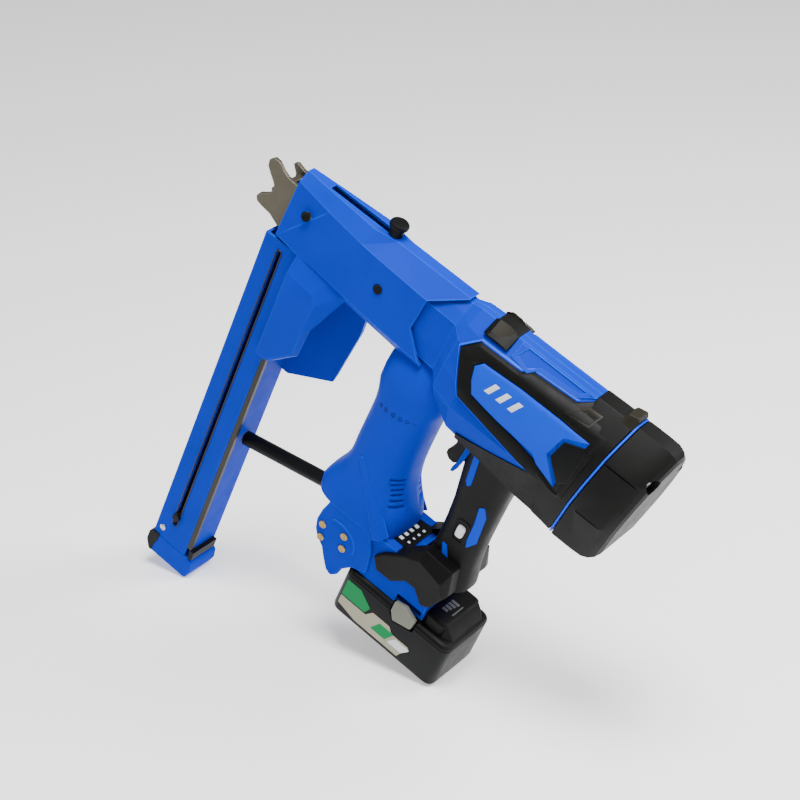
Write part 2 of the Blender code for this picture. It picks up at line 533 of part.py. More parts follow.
PAD = [(57, -139), (64, -130), (86, -110), (116.6, -110), (134.0, -124.4), (125, -144), (106, -136),
       (96, -137), (82, -150), (64, -150)]
BRACE_PLATE = [
    (-6, -118), (-10, -124), (-10, -134), (-14, -142), (-15, -152), (-10, -166), (-2, -180), (8, -196),
    (18, -203), (27, -198), (31, -180), (40, -170), (44, -150), (38, -128), (20, -114)]
for side, sign in (("left", -1), ("right", 1)):
    inner, outer = sign * (BASE_HALF + GAP), sign * (BASE_HALF + 4.5)
    plate(f"base_pad_{side}", PAD, min(inner, outer), max(inner, outer), BLACK)
BRACE_Y = BASE_HALF + GAP
RIVETS = [(-4.5, -151.0), (-1.5, -165.5), (20.5, -145.5), (23.5, -159.5)]
for side, sign in (("left", -1), ("right", 1)):
    y0, y1 = sorted((sign * BRACE_Y, sign * (BRACE_Y + 3.0)))
    plate(f"brace_plate_{side}", BRACE_PLATE, y0, y1, BLUE)
for k, (x, z) in enumerate(RIVETS, 1):
    way = rod(f"cut_rivet_{k}", (x, -60, z), (x, 60, z), 3.2, cutter=True, sides=12)
    for name in ("base_left", "base_right", "brace_plate_left", "brace_plate_right"):
        cut(bpy.data.objects[name], way)
    rivet = rod(f"brace_rivet_{k}", (x, -BRACE_Y - 4.4, z), (x, BRACE_Y + 4.4, z), 2.9, BRASS, sides=12)
    for sign in (-1, 1):
        cut(rivet, rod(f"add_rivet_head_{k}_{sign}", (x, sign * (BRACE_Y + 3.3), z),
                       (x, sign * (BRACE_Y + 4.6), z), 4.3, cutter=True, sides=12), "UNION")

rod("brace_rod", (MAG_X1 + 2.3, 0, -163), (-25.0, 0, -136), 7.5, BLACK_HARD, sides=18)

# Handle and trigger ---------------------------------------------------------------------------------------

HANDLE = [(36.0, 112, 0, 30.0, 18.5), (0.0, 111, 0, 27.0, 18.8), (-40.0, 113.5, 0, 23.5, 18.5),
          (-86.0, 115.0, 0, 22.5, 18.0), (-122.0, 116.0, 0, 24.5, 19.0)]
handle_cavity = tower("cut_handle_cavity", [
    (z + (4 if k == 0 else -4 if k == len(HANDLE) - 1 else 0), x, y, rx - WALL, ry - WALL)
    for k, (z, x, y, rx, ry) in enumerate(HANDLE)], cutter=True, sides=20, power=0.8)
trigger_slot = box("cut_trigger_slot", (70, -8.4, -17), (98, 8.4, 50), cutter=True)
switch_slot = box("cut_switch_slot", (110.5, -25, -70), (119.5, -12, -52), cutter=True)
halves("handle", lambda name: tower(name, HANDLE, BLACK, sides=20, power=0.8),
       (handle_cavity, trigger_slot, switch_slot))

TRIGGER = [(90, 28), (90, 19), (84, 10), (80, -2), (79, -11), (73, -12.5), (66.5, -9), (65.5, -3), (68, 6),
           (67, 16), (62.5, 24), (63, 30), (80, 32)]
trigger = plate("trigger", TRIGGER, -7.6, 7.6, BLACK_HARD, origin=(PIVOT_X, 0, PIVOT_Z))
box("trigger_switch", (97.0, -7.0, -16.0), (114.0, 7.0, 14.0), BLACK_HARD, bevel=0.8)
mode_switch = box("mode_switch", (111.2, -20.8, -66.0), (118.8, -14.2, -56.0), WHITE, bevel=1.2,
                  origin=(115, -18, -61))

# Battery --------------------------------------------------------------------------------------------------

def slab(name, low, high, corner, mat=None, cutter=False):
    """Block whose upright edges are rounded by `corner`."""
    bm = bmesh.new()
    bmesh.ops.create_cube(bm, size=1.0)
    bmesh.ops.scale(bm, vec=[(high[k] - low[k]) * MM for k in range(3)], verts=bm.verts)
    bmesh.ops.translate(bm, vec=[(high[k] + low[k]) / 2 * MM for k in range(3)], verts=bm.verts)
    upright = [e for e in bm.edges if abs(e.verts[0].co.z - e.verts[1].co.z) > 1e-6]
    bmesh.ops.bevel(bm, geom=upright, offset=corner * MM, segments=3, profile=0.5, affect="EDGES")
    return make(name, mesh_of(bm, name), mat, cutter)


SPLIT_Z = -186.0
case = slab("battery_case", (BATTERY_X0, -BATTERY_HALF, BATTERY_Z0), (BATTERY_X1, BATTERY_HALF, SPLIT_Z), 12,
            BLACK)
cut(case, slab("cut_battery_case", (BATTERY_X0 + 3, -BATTERY_HALF + 3, BATTERY_Z0 + 3),
               (BATTERY_X1 - 3, BATTERY_HALF - 3, SPLIT_Z + 5), 6, cutter=True))
lid = slab("battery_lid", (BATTERY_X0, -BATTERY_HALF, SPLIT_Z + GAP),
           (BATTERY_X1 - 3, BATTERY_HALF, BATTERY_Z1 - GAP), 12, BLACK_HARD)
cut(lid, slab("add_lid_hump", (125, -BATTERY_HALF + 7, SPLIT_Z + 4),
              (BATTERY_X1 - 16, BATTERY_HALF - 7, -158), 6, cutter=True), "UNION")

for side, sign in (("left", -1), ("right", 1)):
    y0, y1 = sorted((sign * (BATTERY_HALF - 3.4), sign * (BATTERY_HALF + 1.6)))
    pocket0, pocket1 = sorted((sign * (BATTERY_HALF - 9.5), sign * (BATTERY_HALF + 5)))
    latch = [(95.5, -155.5), (108, -152.5), (122, -160), (121, -172), (101, -177), (95.5, -168)]
    latch = [(x, z - 10) for x, z in latch]
    pocket = [(108 + (x - 108) * 1.09, -176 + (z + 176) * 1.09) for x, z in latch]
    way = plate(f"cut_latch_{side}", pocket, pocket0, pocket1, cutter=True)
    cut(case, way)
    cut(lid, way)
    plate(f"battery_latch_{side}", latch, y0, y1, LATCH, origin=(108, sign * BATTERY_HALF, -176))

# Stance ---------------------------------------------------------------------------------------------------
# The floor runs through the foot's rear lower edge.  The model is then centred over its own footprint.

stance.rotation_euler = (0.0, STANCE, 0.0)
bpy.context.view_layer.update()
graph = bpy.context.evaluated_depsgraph_get()
corners = []
for obj in parts.objects:
    if obj.type == "MESH":
        shape = obj.evaluated_get(graph)
        mesh = shape.to_mesh()
        corners += [obj.matrix_world @ v.co for v in mesh.vertices]
        shape.to_mesh_clear()
low = [min(c[k] for c in corners) for k in range(3)]
high = [max(c[k] for c in corners) for k in range(3)]
stance.location = (-(low[0] + high[0]) / 2, -(low[1] + high[1]) / 2, -low[2])
bpy.context.view_layer.update()
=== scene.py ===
"""Looks of a cordless construction stapler: moulded shells, overmoulds, fasteners and finishes.

Shapes are built in the tool's own axes, in millimetres: +X from the nose to the rear cap, +Y across the tool,
+Z up the motor column.  TOOL carries them to the frame, where the tool stands with its nose raised.
A left piece is on the -Y side.
"""
import math

import bmesh
import bpy
from mathutils import Matrix, Vector


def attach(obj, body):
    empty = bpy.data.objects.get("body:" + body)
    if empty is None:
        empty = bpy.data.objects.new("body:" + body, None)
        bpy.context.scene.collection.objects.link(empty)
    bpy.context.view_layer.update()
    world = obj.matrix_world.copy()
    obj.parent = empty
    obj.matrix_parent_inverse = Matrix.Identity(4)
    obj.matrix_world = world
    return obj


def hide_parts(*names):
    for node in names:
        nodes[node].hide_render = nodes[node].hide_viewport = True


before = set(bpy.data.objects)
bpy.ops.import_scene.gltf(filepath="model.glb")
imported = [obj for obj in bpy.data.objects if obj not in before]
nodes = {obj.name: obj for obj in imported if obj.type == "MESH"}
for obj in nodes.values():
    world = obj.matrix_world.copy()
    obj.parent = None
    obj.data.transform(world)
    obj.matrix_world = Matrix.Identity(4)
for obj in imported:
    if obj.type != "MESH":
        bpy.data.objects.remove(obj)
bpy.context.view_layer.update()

STANCE = math.atan2(128.0, 292.0)          # the foot's and the battery's edges stand level
ORIGIN = (0.0080763, 0.0, 0.2746604)       # the tool's own origin in the frame
TOOL = Matrix.Translation(ORIGIN) @ Matrix.Rotation(STANCE, 4, "Y") @ Matrix.Scale(0.001, 4)
ROOT = "tool"
SIDES = (("left", -1), ("right", 1))

# Finishes ----------------------------------------------------------------------------------------------


def finish(name, colour, rough, metal=0.0, grain=0.0, grain_scale=900.0, mottle=0.06, wear_and_edge_highlight=0.0,
           wear_and_highlight_colour=None, coat=0.0, streak=0.0, specular=0.10):
    """Principled finish: faint mottling, a fine moulded or cast grain, handling marks, and edges lightened
    through a bevel mask: rubbed wear, and on the blue shell a painted highlight along the edges.
    """
    mat = bpy.data.materials.new(name)
    mat.use_nodes = True
    tree = mat.node_tree
    shader = tree.nodes["Principled BSDF"]
    shader.inputs["Metallic"].default_value = metal
    shader.inputs["Coat Weight"].default_value = coat
    shader.inputs["Specular IOR Level"].default_value = specular
    shader.inputs["Coat Roughness"].default_value = 0.25

    def node(kind, **values):
        n = tree.nodes.new(kind)
        for key, value in values.items():
            if key in n.inputs:
                n.inputs[key].default_value = value
            else:
                setattr(n, key, value)
        return n

    place = node("ShaderNodeTexCoord")
    broad = node("ShaderNodeTexNoise", Scale=9.0, Detail=4.0, Roughness=0.6)
    tree.links.new(place.outputs["Object"], broad.inputs["Vector"])
    shade = node("ShaderNodeValToRGB")
    dark = tuple(max(0.0, c * (1 - mottle)) for c in colour)
    light = tuple(min(1.0, c * (1 + mottle) + 0.002) for c in colour)
    shade.color_ramp.elements[0].position, shade.color_ramp.elements[1].position = 0.32, 0.68
    shade.color_ramp.elements[0].color = (*dark, 1)
    shade.color_ramp.elements[1].color = (*light, 1)
    tree.links.new(broad.outputs["Fac"], shade.inputs["Fac"])
    out = shade.outputs["Color"]

    marks = node("ShaderNodeTexNoise", Scale=55.0, Detail=6.0, Roughness=0.7)
    tree.links.new(place.outputs["Object"], marks.inputs["Vector"])
    span = node("ShaderNodeMapRange")
    span.inputs["From Min"].default_value, span.inputs["From Max"].default_value = 0.3, 0.7
    span.inputs["To Min"].default_value, span.inputs["To Max"].default_value = rough - 0.06, rough + 0.08
    tree.links.new(marks.outputs["Fac"], span.inputs["Value"])
    tree.links.new(span.outputs["Result"], shader.inputs["Roughness"])

    if wear_and_edge_highlight:
        # Sharp edges are lightened towards the wear colour: rubbed wear, and on the blue shell a painted
        # highlight.
        edge = node("ShaderNodeBevel", samples=4)
        edge.inputs["Radius"].default_value = 0.0016
        geometry = node("ShaderNodeNewGeometry")
        dot = node("ShaderNodeVectorMath", operation="DOT_PRODUCT")
        tree.links.new(edge.outputs["Normal"], dot.inputs[0])
        tree.links.new(geometry.outputs["Normal"], dot.inputs[1])
        sharp = node("ShaderNodeMapRange")
        sharp.inputs["From Min"].default_value, sharp.inputs["From Max"].default_value = 0.995, 0.93
        sharp.inputs["To Min"].default_value, sharp.inputs["To Max"].default_value = 0.0, wear_and_edge_highlight
        tree.links.new(dot.outputs["Value"], sharp.inputs["Value"])
        gate = node("ShaderNodeMath", operation="MULTIPLY")
        tree.links.new(sharp.outputs["Result"], gate.inputs[0])
        tree.links.new(marks.outputs["Fac"], gate.inputs[1])
        mix = node("ShaderNodeMix", data_type="RGBA")
        tree.links.new(gate.outputs["Value"], mix.inputs["Factor"])
        tree.links.new(out, mix.inputs["A"])
        mix.inputs["B"].default_value = (*(wear_and_highlight_colour or tuple(min(1, c * 1.8 + 0.03) for c in colour)), 1)
        out = mix.outputs["Result"]
    tree.links.new(out, shader.inputs["Base Color"])

    if grain or streak:
        fine = node("ShaderNodeTexNoise", Scale=grain_scale, Detail=3.0, Roughness=0.6)
        source = place.outputs["Object"]
        if streak:
            stretch = node("ShaderNodeMapping")
            stretch.inputs["Scale"].default_value = (1.0, streak, 1.0)
            tree.links.new(source, stretch.inputs["Vector"])
            source = stretch.outputs["Vector"]
        tree.links.new(source, fine.inputs["Vector"])
        bump = node("ShaderNodeBump")
        bump.inputs["Strength"].default_value = grain
        bump.inputs["Distance"].default_value = 0.0004
        tree.links.new(fine.outputs["Fac"], bump.inputs["Height"])
        tree.links.new(bump.outputs["Normal"], shader.inputs["Normal"])
    return mat


# The blue shell's lightened edges, in bright blue, are a painted highlight along its edges and chamfers.
BLUE = finish("blue_shell", (0.0, 0.026, 0.40), 0.44, grain=0.10, grain_scale=1400, mottle=0.05, wear_and_edge_highlight=0.75,
              wear_and_highlight_colour=(0.0, 0.15, 1.0), specular=0.03)
BLUE_PANEL = finish("blue_panel", (0.0, 0.045, 0.55), 0.42, grain=0.05, grain_scale=1600, mottle=0.04,
                    specular=0.04)
LINE_BLUE = finish("line_blue", (0.0, 0.055, 0.70), 0.40, grain=0.03, mottle=0.04)
BLACK = finish("black_overmould", (0.0035, 0.0034, 0.0032), 0.46, grain=0.30, grain_scale=1700, mottle=0.25,
               wear_and_edge_highlight=0.25, wear_and_highlight_colour=(0.02, 0.019, 0.016))
BLACK_HARD = finish("black_plastic", (0.0025, 0.0027, 0.0032), 0.38, grain=0.12, grain_scale=1500,
                    mottle=0.2, wear_and_edge_highlight=0.2, wear_and_highlight_colour=(0.018, 0.018, 0.018))
OLIVE_BLACK = finish("olive_black", (0.016, 0.0145, 0.010), 0.40, grain=0.25, grain_scale=1500, mottle=0.2)
NOSE = finish("nose_steel", (0.085, 0.078, 0.058), 0.42, metal=0.85, grain=0.25, grain_scale=700, mottle=0.2,
              wear_and_edge_highlight=0.6, wear_and_highlight_colour=(0.35, 0.33, 0.27))
ALLOY = finish("cast_alloy", (0.55, 0.56, 0.57), 0.42, metal=1.0, grain=0.3, grain_scale=600, mottle=0.1)
STEEL = finish("bright_steel", (0.50, 0.50, 0.50), 0.30, metal=1.0, grain=0.1, grain_scale=500, mottle=0.08,
               streak=6.0)
RAIL = finish("dark_rail", (0.035, 0.033, 0.030), 0.36, metal=0.6, grain=0.15, grain_scale=600, mottle=0.15,
              streak=5.0)
BRASS = finish("brass", (0.36, 0.25, 0.10), 0.36, metal=1.0, grain=0.15, grain_scale=800, mottle=0.12)
RUBBER = finish("rubber", (0.015, 0.015, 0.015), 0.75, grain=0.3, grain_scale=1200, mottle=0.2)
COPPER = finish("windings", (0.42, 0.17, 0.07), 0.40, metal=0.8, grain=0.4, grain_scale=500, streak=8.0)
BOARD = finish("board", (0.010, 0.10, 0.04), 0.40, grain=0.1, mottle=0.12)
WHITE = finish("switch_white", (0.70, 0.72, 0.74), 0.35, grain=0.05, mottle=0.03)
LATCH = finish("latch_grey", (0.16, 0.165, 0.135), 0.45, grain=0.25, grain_scale=1500, mottle=0.1, wear_and_edge_highlight=0.3,
               wear_and_highlight_colour=(0.3, 0.3, 0.26))
LABEL_GREEN = finish("label_green", (0.0, 0.20, 0.055), 0.42, grain=0.03, mottle=0.06)
LABEL_BEIGE = finish("label_beige", (0.33, 0.31, 0.23), 0.45, grain=0.04, mottle=0.06)
ICON = finish("icon_white", (0.62, 0.64, 0.66), 0.42, grain=0.03, mottle=0.03)
GAUGE = finish("gauge_grey", (0.13, 0.135, 0.13), 0.40, grain=0.1, mottle=0.08)

# Mesh tools --------------------------------------------------------------------------------------------


def make(name, bm, mat, body=ROOT, bevel=0.0, segments=2, angle=24.0, smooth=True, weld=True):
    """Turns a bmesh in tool millimetres into a piece that rides on a body (no body: a cutter)."""
    if weld:
        bmesh.ops.remove_doubles(bm, verts=bm.verts, dist=0.002)
    bmesh.ops.recalc_face_normals(bm, faces=bm.faces)
    if smooth and not bevel:
        for e in bm.edges:
            e.smooth = len(e.link_faces) == 2 and e.calc_face_angle(0.0) < math.radians(angle)
    bm.transform(TOOL)
    mesh = bpy.data.meshes.new(name)
    bm.to_mesh(mesh)
    bm.free()
    obj = bpy.data.objects.new(name, mesh)
    bpy.context.scene.collection.objects.link(obj)
    if mat:
        mesh.materials.append(mat)
    if smooth:
        for face in mesh.polygons:
            face.use_smooth = True
    if bevel:
        soften(obj, bevel, segments, angle)
    if body:
        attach(obj, body)
    return obj


def soften(obj, width, segments=2, angle=24.0):
    """Rounded edges with clean shading on the flats."""
    mod = obj.modifiers.new("edges", "BEVEL")
    mod.width, mod.segments, mod.limit_method = width * 0.001, segments, "ANGLE"
    mod.angle_limit, mod.harden_normals = math.radians(angle), True
    mod.miter_outer = "MITER_ARC"
    for face in obj.data.polygons:
        face.use_smooth = True


def cut(obj, cutter, mode="DIFFERENCE"):
    """Boolean, done at once, with the cutter removed."""
    mod = obj.modifiers.new("cut", "BOOLEAN")
    mod.operation, mod.solver, mod.object = mode, "EXACT", cutter
    rest = [m for m in obj.modifiers if m.type == "BEVEL"]
    for m in rest:
        m.show_viewport = False
    graph = bpy.context.evaluated_depsgraph_get()
    mesh = bpy.data.meshes.new_from_object(obj.evaluated_get(graph))
    old = obj.data
    obj.modifiers.remove(mod)
    obj.data = mesh
    bpy.data.meshes.remove(old)
    for m in rest:
        m.show_viewport = True
    bpy.data.objects.remove(cutter, do_unlink=True)
    for face in obj.data.polygons:
        face.use_smooth = True
    return obj


def rings(bm, sections, cap=True):
    """Skins closed sections, each a list of points with the same count."""
    loops = [[bm.verts.new(p) for p in s] for s in sections]
    n = len(loops[0])
    for a, b in zip(loops, loops[1:]):
        for k in range(n):
            bm.faces.new((a[k], a[(k + 1) % n], b[(k + 1) % n], b[k]))
    if cap:
        bm.faces.new(loops[0][::-1])
        bm.faces.new(loops[-1])


def skin(name, sections, mat, body=ROOT, **kw):
    bm = bmesh.new()
    rings(bm, sections)
    return make(name, bm, mat, body, **kw)


def block(name, low, high, mat, body=ROOT, **kw):
    bm = bmesh.new()
    bmesh.ops.create_cube(bm, size=1.0)
    bmesh.ops.scale(bm, vec=[high[k] - low[k] for k in range(3)], verts=bm.verts)
    bmesh.ops.translate(bm, vec=[(high[k] + low[k]) / 2 for k in range(3)], verts=bm.verts)
    return make(name, bm, mat, body, **kw)


def round_corners(points, radius, steps=4):
    """Outline in a plane with each corner rounded by an arc."""
    out = []
    n = len(points)
    for k in range(n):
        p0, p1, p2 = (Vector(points[(k + d) % n]) for d in (-1, 0, 1))
        a, b = (p0 - p1), (p2 - p1)
        r = radius[k] if isinstance(radius, (list, tuple)) else radius
        half = max(0.05, a.angle(b) / 2)
        reach = min(r / math.tan(half), a.length * 0.46, b.length * 0.46)
        if reach < 0.05:
            out.append(tuple(p1))
            continue
        start, end = p1 + a.normalized() * reach, p1 + b.normalized() * reach
        for s in range(steps + 1):
            t = s / steps
            out.append(tuple(start * (1 - t) ** 2 + p1 * 2 * t * (1 - t) + end * t ** 2))
    return out


def plate(name, outline, y0, y1, mat, body=ROOT, corner=0.0, taper=0.0, **kw):
    """Flat piece whose (x, z) outline is pushed along y; taper shrinks the y1 face towards its middle."""
    pts = round_corners(outline, corner) if corner else outline
    bm = bmesh.new()
    if taper:
        shrunk = offset(pts, -taper)
        rings(bm, [[(x, y0, z) for x, z in pts], [(x, y1, z) for x, z in shrunk]])
    else:
        rings(bm, [[(x, y0, z) for x, z in pts], [(x, y1, z) for x, z in pts]])
    return make(name, bm, mat, body, **kw)


def offset(points, distance):
    """Outline moved outwards by distance (inwards if negative)."""
    n = len(points)
    area = sum(points[k][0] * points[(k + 1) % n][1] - points[(k + 1) % n][0] * points[k][1]
               for k in range(n))
    sign = 1.0 if area > 0 else -1.0
    out = []
    for k in range(n):
        (x0, z0), (x1, z1), (x2, z2) = points[k - 1], points[k], points[(k + 1) % n]
        a, b = Vector((x1 - x0, z1 - z0)), Vector((x2 - x1, z2 - z1))
        if a.length < 1e-6 or b.length < 1e-6:
            out.append((x1, z1))
            continue
        na = Vector((a.y, -a.x)).normalized() * sign
        nb = Vector((b.y, -b.x)).normalized() * sign
        m = na + nb
        if m.length < 1e-4:
            m = na
        m = m / max(0.35, m.length_squared / 2)
        out.append((x1 + m.x * distance, z1 + m.y * distance))
    return out


def turn(name, profile, start, axis, mat, body=ROOT, sides=40, **kw):
    """Turned piece: profile is (distance along axis, radius) from start."""
    bm = bmesh.new()
    way = Vector(axis).normalized()
    u = way.orthogonal().normalized()
    v = way.cross(u)
    base = Vector(start)
    rings(bm, [[tuple(base + way * d + (u * math.cos(a) + v * math.sin(a)) * max(r, 0.02))
                for a in (2 * math.pi * k / sides for k in range(sides))] for d, r in profile])
    return make(name, bm, mat, body, **kw)


def wire(name, points, radius, mat, body=ROOT, closed=True, sides=8):
    """Thin round line through points."""
    bm = bmesh.new()
    pts = [Vector(p) for p in points]
    n = len(pts)
    sections = []
    for k in range(n):
        if closed:
            before, after = pts[k - 1], pts[(k + 1) % n]
        else:
            before, after = pts[max(k - 1, 0)], pts[min(k + 1, n - 1)]
        way = (after - before).normalized()
        side = way.cross(Vector((0, 1, 0)))
        side = side.normalized() if side.length > 0.05 else Vector((0, 0, 1))
        up = way.cross(side).normalized()
        sections.append([tuple(pts[k] + (side * math.cos(a) + up * math.sin(a)) * radius)
                         for a in (2 * math.pi * j / sides for j in range(sides))])
    if closed:
        loops = [[bm.verts.new(p) for p in s] for s in sections]
        for k in range(n):
            a, b = loops[k], loops[(k + 1) % n]
            for j in range(sides):
                bm.faces.new((a[j], a[(j + 1) % sides], b[(j + 1) % sides], b[j]))
    else:
        rings(bm, sections)
    return make(name, bm, mat, body, weld=False)


def repaint(node, mat, width=0.0, angle=24.0):
    obj = nodes[node]
    for s in obj.material_slots:
        s.material = mat
    if not obj.material_slots:
        obj.data.materials.append(mat)
    if width:
        soften(obj, width, 2, angle)
    return obj


# CAD nodes that stay: finish and rounded edges ---------------------------------------------------------

for names, mat, width in (
        (("front_cover", "housing_left", "housing_right"), BLUE, 0.9),
        (("magazine_left", "magazine_right", "magazine_foot", "magazine_bracket_left",
          "magazine_bracket_right", "motor_housing_left", "motor_housing_right", "base_left", "base_right",
          "brace_plate_left", "brace_plate_right"), BLUE, 0.8),
        (("side_frame_left", "side_frame_right", "top_bumper", "rear_band", "rear_cap"), BLACK, 0.9),
        (("base_pad_left", "base_pad_right", "handle_left", "handle_right"), BLACK, 0.8),
        (("foot_corner", "magazine_end_block", "pusher", "trigger_switch", "brace_rod", "slot_knob"),
         BLACK_HARD, 0.5),
        (("trigger", "display_panel", "battery_lid", "battery_case"), BLACK_HARD, 0.8),
        (("seam_gasket",), LINE_BLUE, 0.2),
        (("nose_contact",), NOSE, 0.5),
        (("nose_guide", "drive_cylinder", "piston", "gearbox"), ALLOY, 0.4),
        (("contact_spring", "staple_core", "pusher_spring", "driver_blade", "lifter_wheel", "motor_rotor",
          "cap_screw_left", "cap_screw_right"), STEEL, 0.0),
        (("cover_screw_front", "cover_screw_rear"), NOSE, 0.3),
        (("magazine_rail",), RAIL, 0.4),
        (("motor_stator",), COPPER, 0.4),
        (("piston_bumper",), RUBBER, 0.5),
        (("control_board",), BOARD, 0.2),
        (("brace_rivet_1", "brace_rivet_2", "brace_rivet_3", "brace_rivet_4"), BRASS, 0.6),
        (("mode_switch",), WHITE, 0.8),
        (("battery_latch_left", "battery_latch_right"), LATCH, 0.6)):
    for n in names:
        repaint(n, mat, width)

# Barrel skin -------------------------------------------------------------------------------------------
# Half-section of the barrel from the top flat down, as (half-width, height).

BARREL = [(8.0, 148.0), (26.0, 132.5), (35.0, 121.5), (43.0, 92.5), (44.5, 68.0), (30.0, 28.0)]


def skin_y(z):
    """Half-width of the barrel at a height."""
    for (y0, z0), (y1, z1) in zip(BARREL, BARREL[1:]):
        if z1 <= z <= z0:
            return y0 + (y1 - y0) * (z0 - z) / (z0 - z1)
    return BARREL[0][0] if z > BARREL[0][1] else BARREL[-1][0]


def section(grow, z_bottom=28.0, y_bottom=30.0):
    """Whole barrel section, grown along its corner normals, as (y, z) points."""
    half = BARREL[:-1] + [(y_bottom, z_bottom)]
    loop = half + [(-y, z) for y, z in reversed(half)]
    return offset(loop, grow)


def draped(name, loops, mat, sign, base_lift=-1.2, fill=False, **kw):
    """Piece laid over the barrel's side.  loops are ((x, z) outline, lift) from the outside in."""
    bm = bmesh.new()
    rows = [[bm.verts.new((x, base_lift, z)) for x, z in loops[0][0]]]
    rows += [[bm.verts.new((x, lift, z)) for x, z in pts] for pts, lift in loops]
    if not fill:
        rows.append([bm.verts.new((x, base_lift, z)) for x, z in loops[-1][0]])
    n = len(rows[0])
    pairs = list(zip(rows, rows[1:])) + ([] if fill else [(rows[-1], rows[0])])
    for a, b in pairs:
        for k in range(n):
            bm.faces.new((a[k], a[(k + 1) % n], b[(k + 1) % n], b[k]))
    if fill:
        bm.faces.new(rows[0][::-1])
        bm.faces.new(rows[-1])
    bmesh.ops.triangulate(bm, faces=[f for f in bm.faces if len(f.verts) > 4])
    for height in [z for _, z in BARREL[1:-1]]:
        geom = bm.verts[:] + bm.edges[:] + bm.faces[:]
        bmesh.ops.bisect_plane(bm, geom=geom, dist=0.0001, plane_co=(0, 0, height), plane_no=(0, 0, 1))
    for v in bm.verts:
        v.co.y = sign * (skin_y(v.co.z) + v.co.y)
    return make(name, bm, mat, **kw)


def paired(outer, inner, n=64):
    """Resamples two outlines of the same corner count so that their points match."""
    def walk(points, counts):
        out = []
        for k, c in enumerate(counts):
            p, q = Vector(points[k]), Vector(points[(k + 1) % len(points)])
            out += [tuple(p.lerp(q, j / c)) for j in range(c)]
        return out
    counts = [max(1, round(n * (Vector(outer[k]) - Vector(outer[(k + 1) % len(outer)])).length / 330.0))
              for k in range(len(outer))]
    return walk(outer, counts), walk(inner, counts)


FRAME_OUT = [(54, 104), (45, 122), (57, 132.5), (101, 133), (109, 137.5), (155, 139), (199, 139), (192, 66),
             (156, 66), (110, 75), (65, 84)]
FRAME_IN = [(69.5, 105), (65.5, 117), (71, 122.8), (101, 124.0), (112, 124.5), (155, 124.5), (189, 125.0),
            (183, 71.0), (157, 80), (108, 90.0), (76, 95)]
PANEL = [(69.5, 105), (65.5, 117), (71, 122.8), (112, 124.5), (160, 124.5), (188, 124.8), (166.5, 115.5),
         (161.5, 95.5), (180.5, 72.0), (157, 80), (150, 86), (108, 90.0), (76, 95)]
PATCH = [(167.5, 114.2), (187, 121.5), (192, 114), (191, 84), (181.5, 75.5), (163.5, 95.5)]

for side, sign in SIDES:
    out, inn = paired(FRAME_OUT, FRAME_IN)
    crest_out, crest_in = offset(out, -1.4), offset(inn, 4.2)
    frame_rows = [(out, 0.2), (crest_out, 3.0), (crest_in, 3.1), (inn, 0.7)]
    frame_piece = draped(f"side_overmould_{side}", frame_rows, BLACK, sign, bevel=0.5, angle=30)
    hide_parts(f"side_frame_{side}")
    outline = draped(f"side_outline_{side}", [(offset(out, 2.1), 0.25), (offset(out, 1.7), 0.7),
                                              (offset(out, 0.9), 0.7)], LINE_BLUE, sign)
    cut(outline, block("outline_end", (157, -90, 0), (260, 90, 220), None, None, smooth=False))
    draped(f"side_panel_{side}", [(PANEL, 2.3), (offset(PANEL, -0.5), 2.6)], BLUE_PANEL, sign, base_lift=0.3,
           fill=True)
    draped(f"side_tail_patch_{side}", [(PATCH, 1.8), (offset(PATCH, -2.2), 3.6)], BLACK_HARD, sign,
           base_lift=-0.5, fill=True, bevel=0.5)
    # Three plain slanted bars on the panel.
    for k in range(3):
        x0 = 84.0 + 13.0 * k
        bar = [(x0, 105.0), (x0 + 5.5, 105.0), (x0 + 11.5, 116.0), (x0 + 6.0, 116.0)]
        draped(f"side_bar_{k + 1}_{side}", [(bar, 2.72), (offset(bar, -0.2), 2.8)], ICON, sign,
               base_lift=2.3, fill=True)

    # Black shoulder above the frame, with its sunk trapezoid.
    shoulder = [(104, 130), (110, 136.5), (155, 138.6), (171, 147.8), (203, 147.8), (203, 124), (167, 124)]
    draped(f"shoulder_{side}", [(shoulder, 1.2), (offset(shoulder, -1.2), 2.1)], BLACK, sign, fill=True,
           bevel=0.4)
    fin = [(154, 131.2), (168.5, 141.0), (180.5, 141.5), (177.5, 133.5)]
    fin_out, fin_in = offset(fin, 1.6), offset(fin, -2.2)
    draped(f"shoulder_fin_{side}", [(fin_out, 2.1), (offset(fin, 0.8), 3.1), (fin, 3.1), (fin_in, 2.3)],
           OLIVE_BLACK, sign, bevel=0.2)
    dark = offset(fin, -1.4)
    draped(f"shoulder_fin_floor_{side}", [(dark, 2.3), (offset(dark, -0.3), 2.36)], BLACK_HARD, sign,
           base_lift=1.4, fill=True)

    # Long facet sunk into the blue top panel, ending in a V.
    rim = [(85, 147.6), (85, 136.5), (106, 134.0), (112, 139.0), (154, 140.6), (167.5, 147.6)]
    floor_rim = [(94, 146.4), (90, 139.5), (104, 136.8), (113, 142.0), (150, 143.4), (157, 146.4)]
    a, b = paired(rim, floor_rim)
    draped(f"top_facet_{side}", [(a, 0.3), (offset(a, -0.8), 1.4), (offset(b, 0.8), 1.4), (b, 0.25)], BLUE,
           sign, bevel=0.3)

# Black under-shell, from the grip back to the rear band.
UNDER_ROWS = ((74, 33), (92, 31.5), (120, 28), (150, 24), (168, 23))
under = skin("under_shell", [[(x, y, z) for y, z in section(0.9, low)] for x, low in UNDER_ROWS], BLACK)
above = [(60, 36), (78, 40), (92, 44), (156, 66), (175, 72), (175, 220), (60, 220)]
cut(under, plate("under_keep", above, -80, 80, None, None, smooth=False))
soften(under, 1.0)

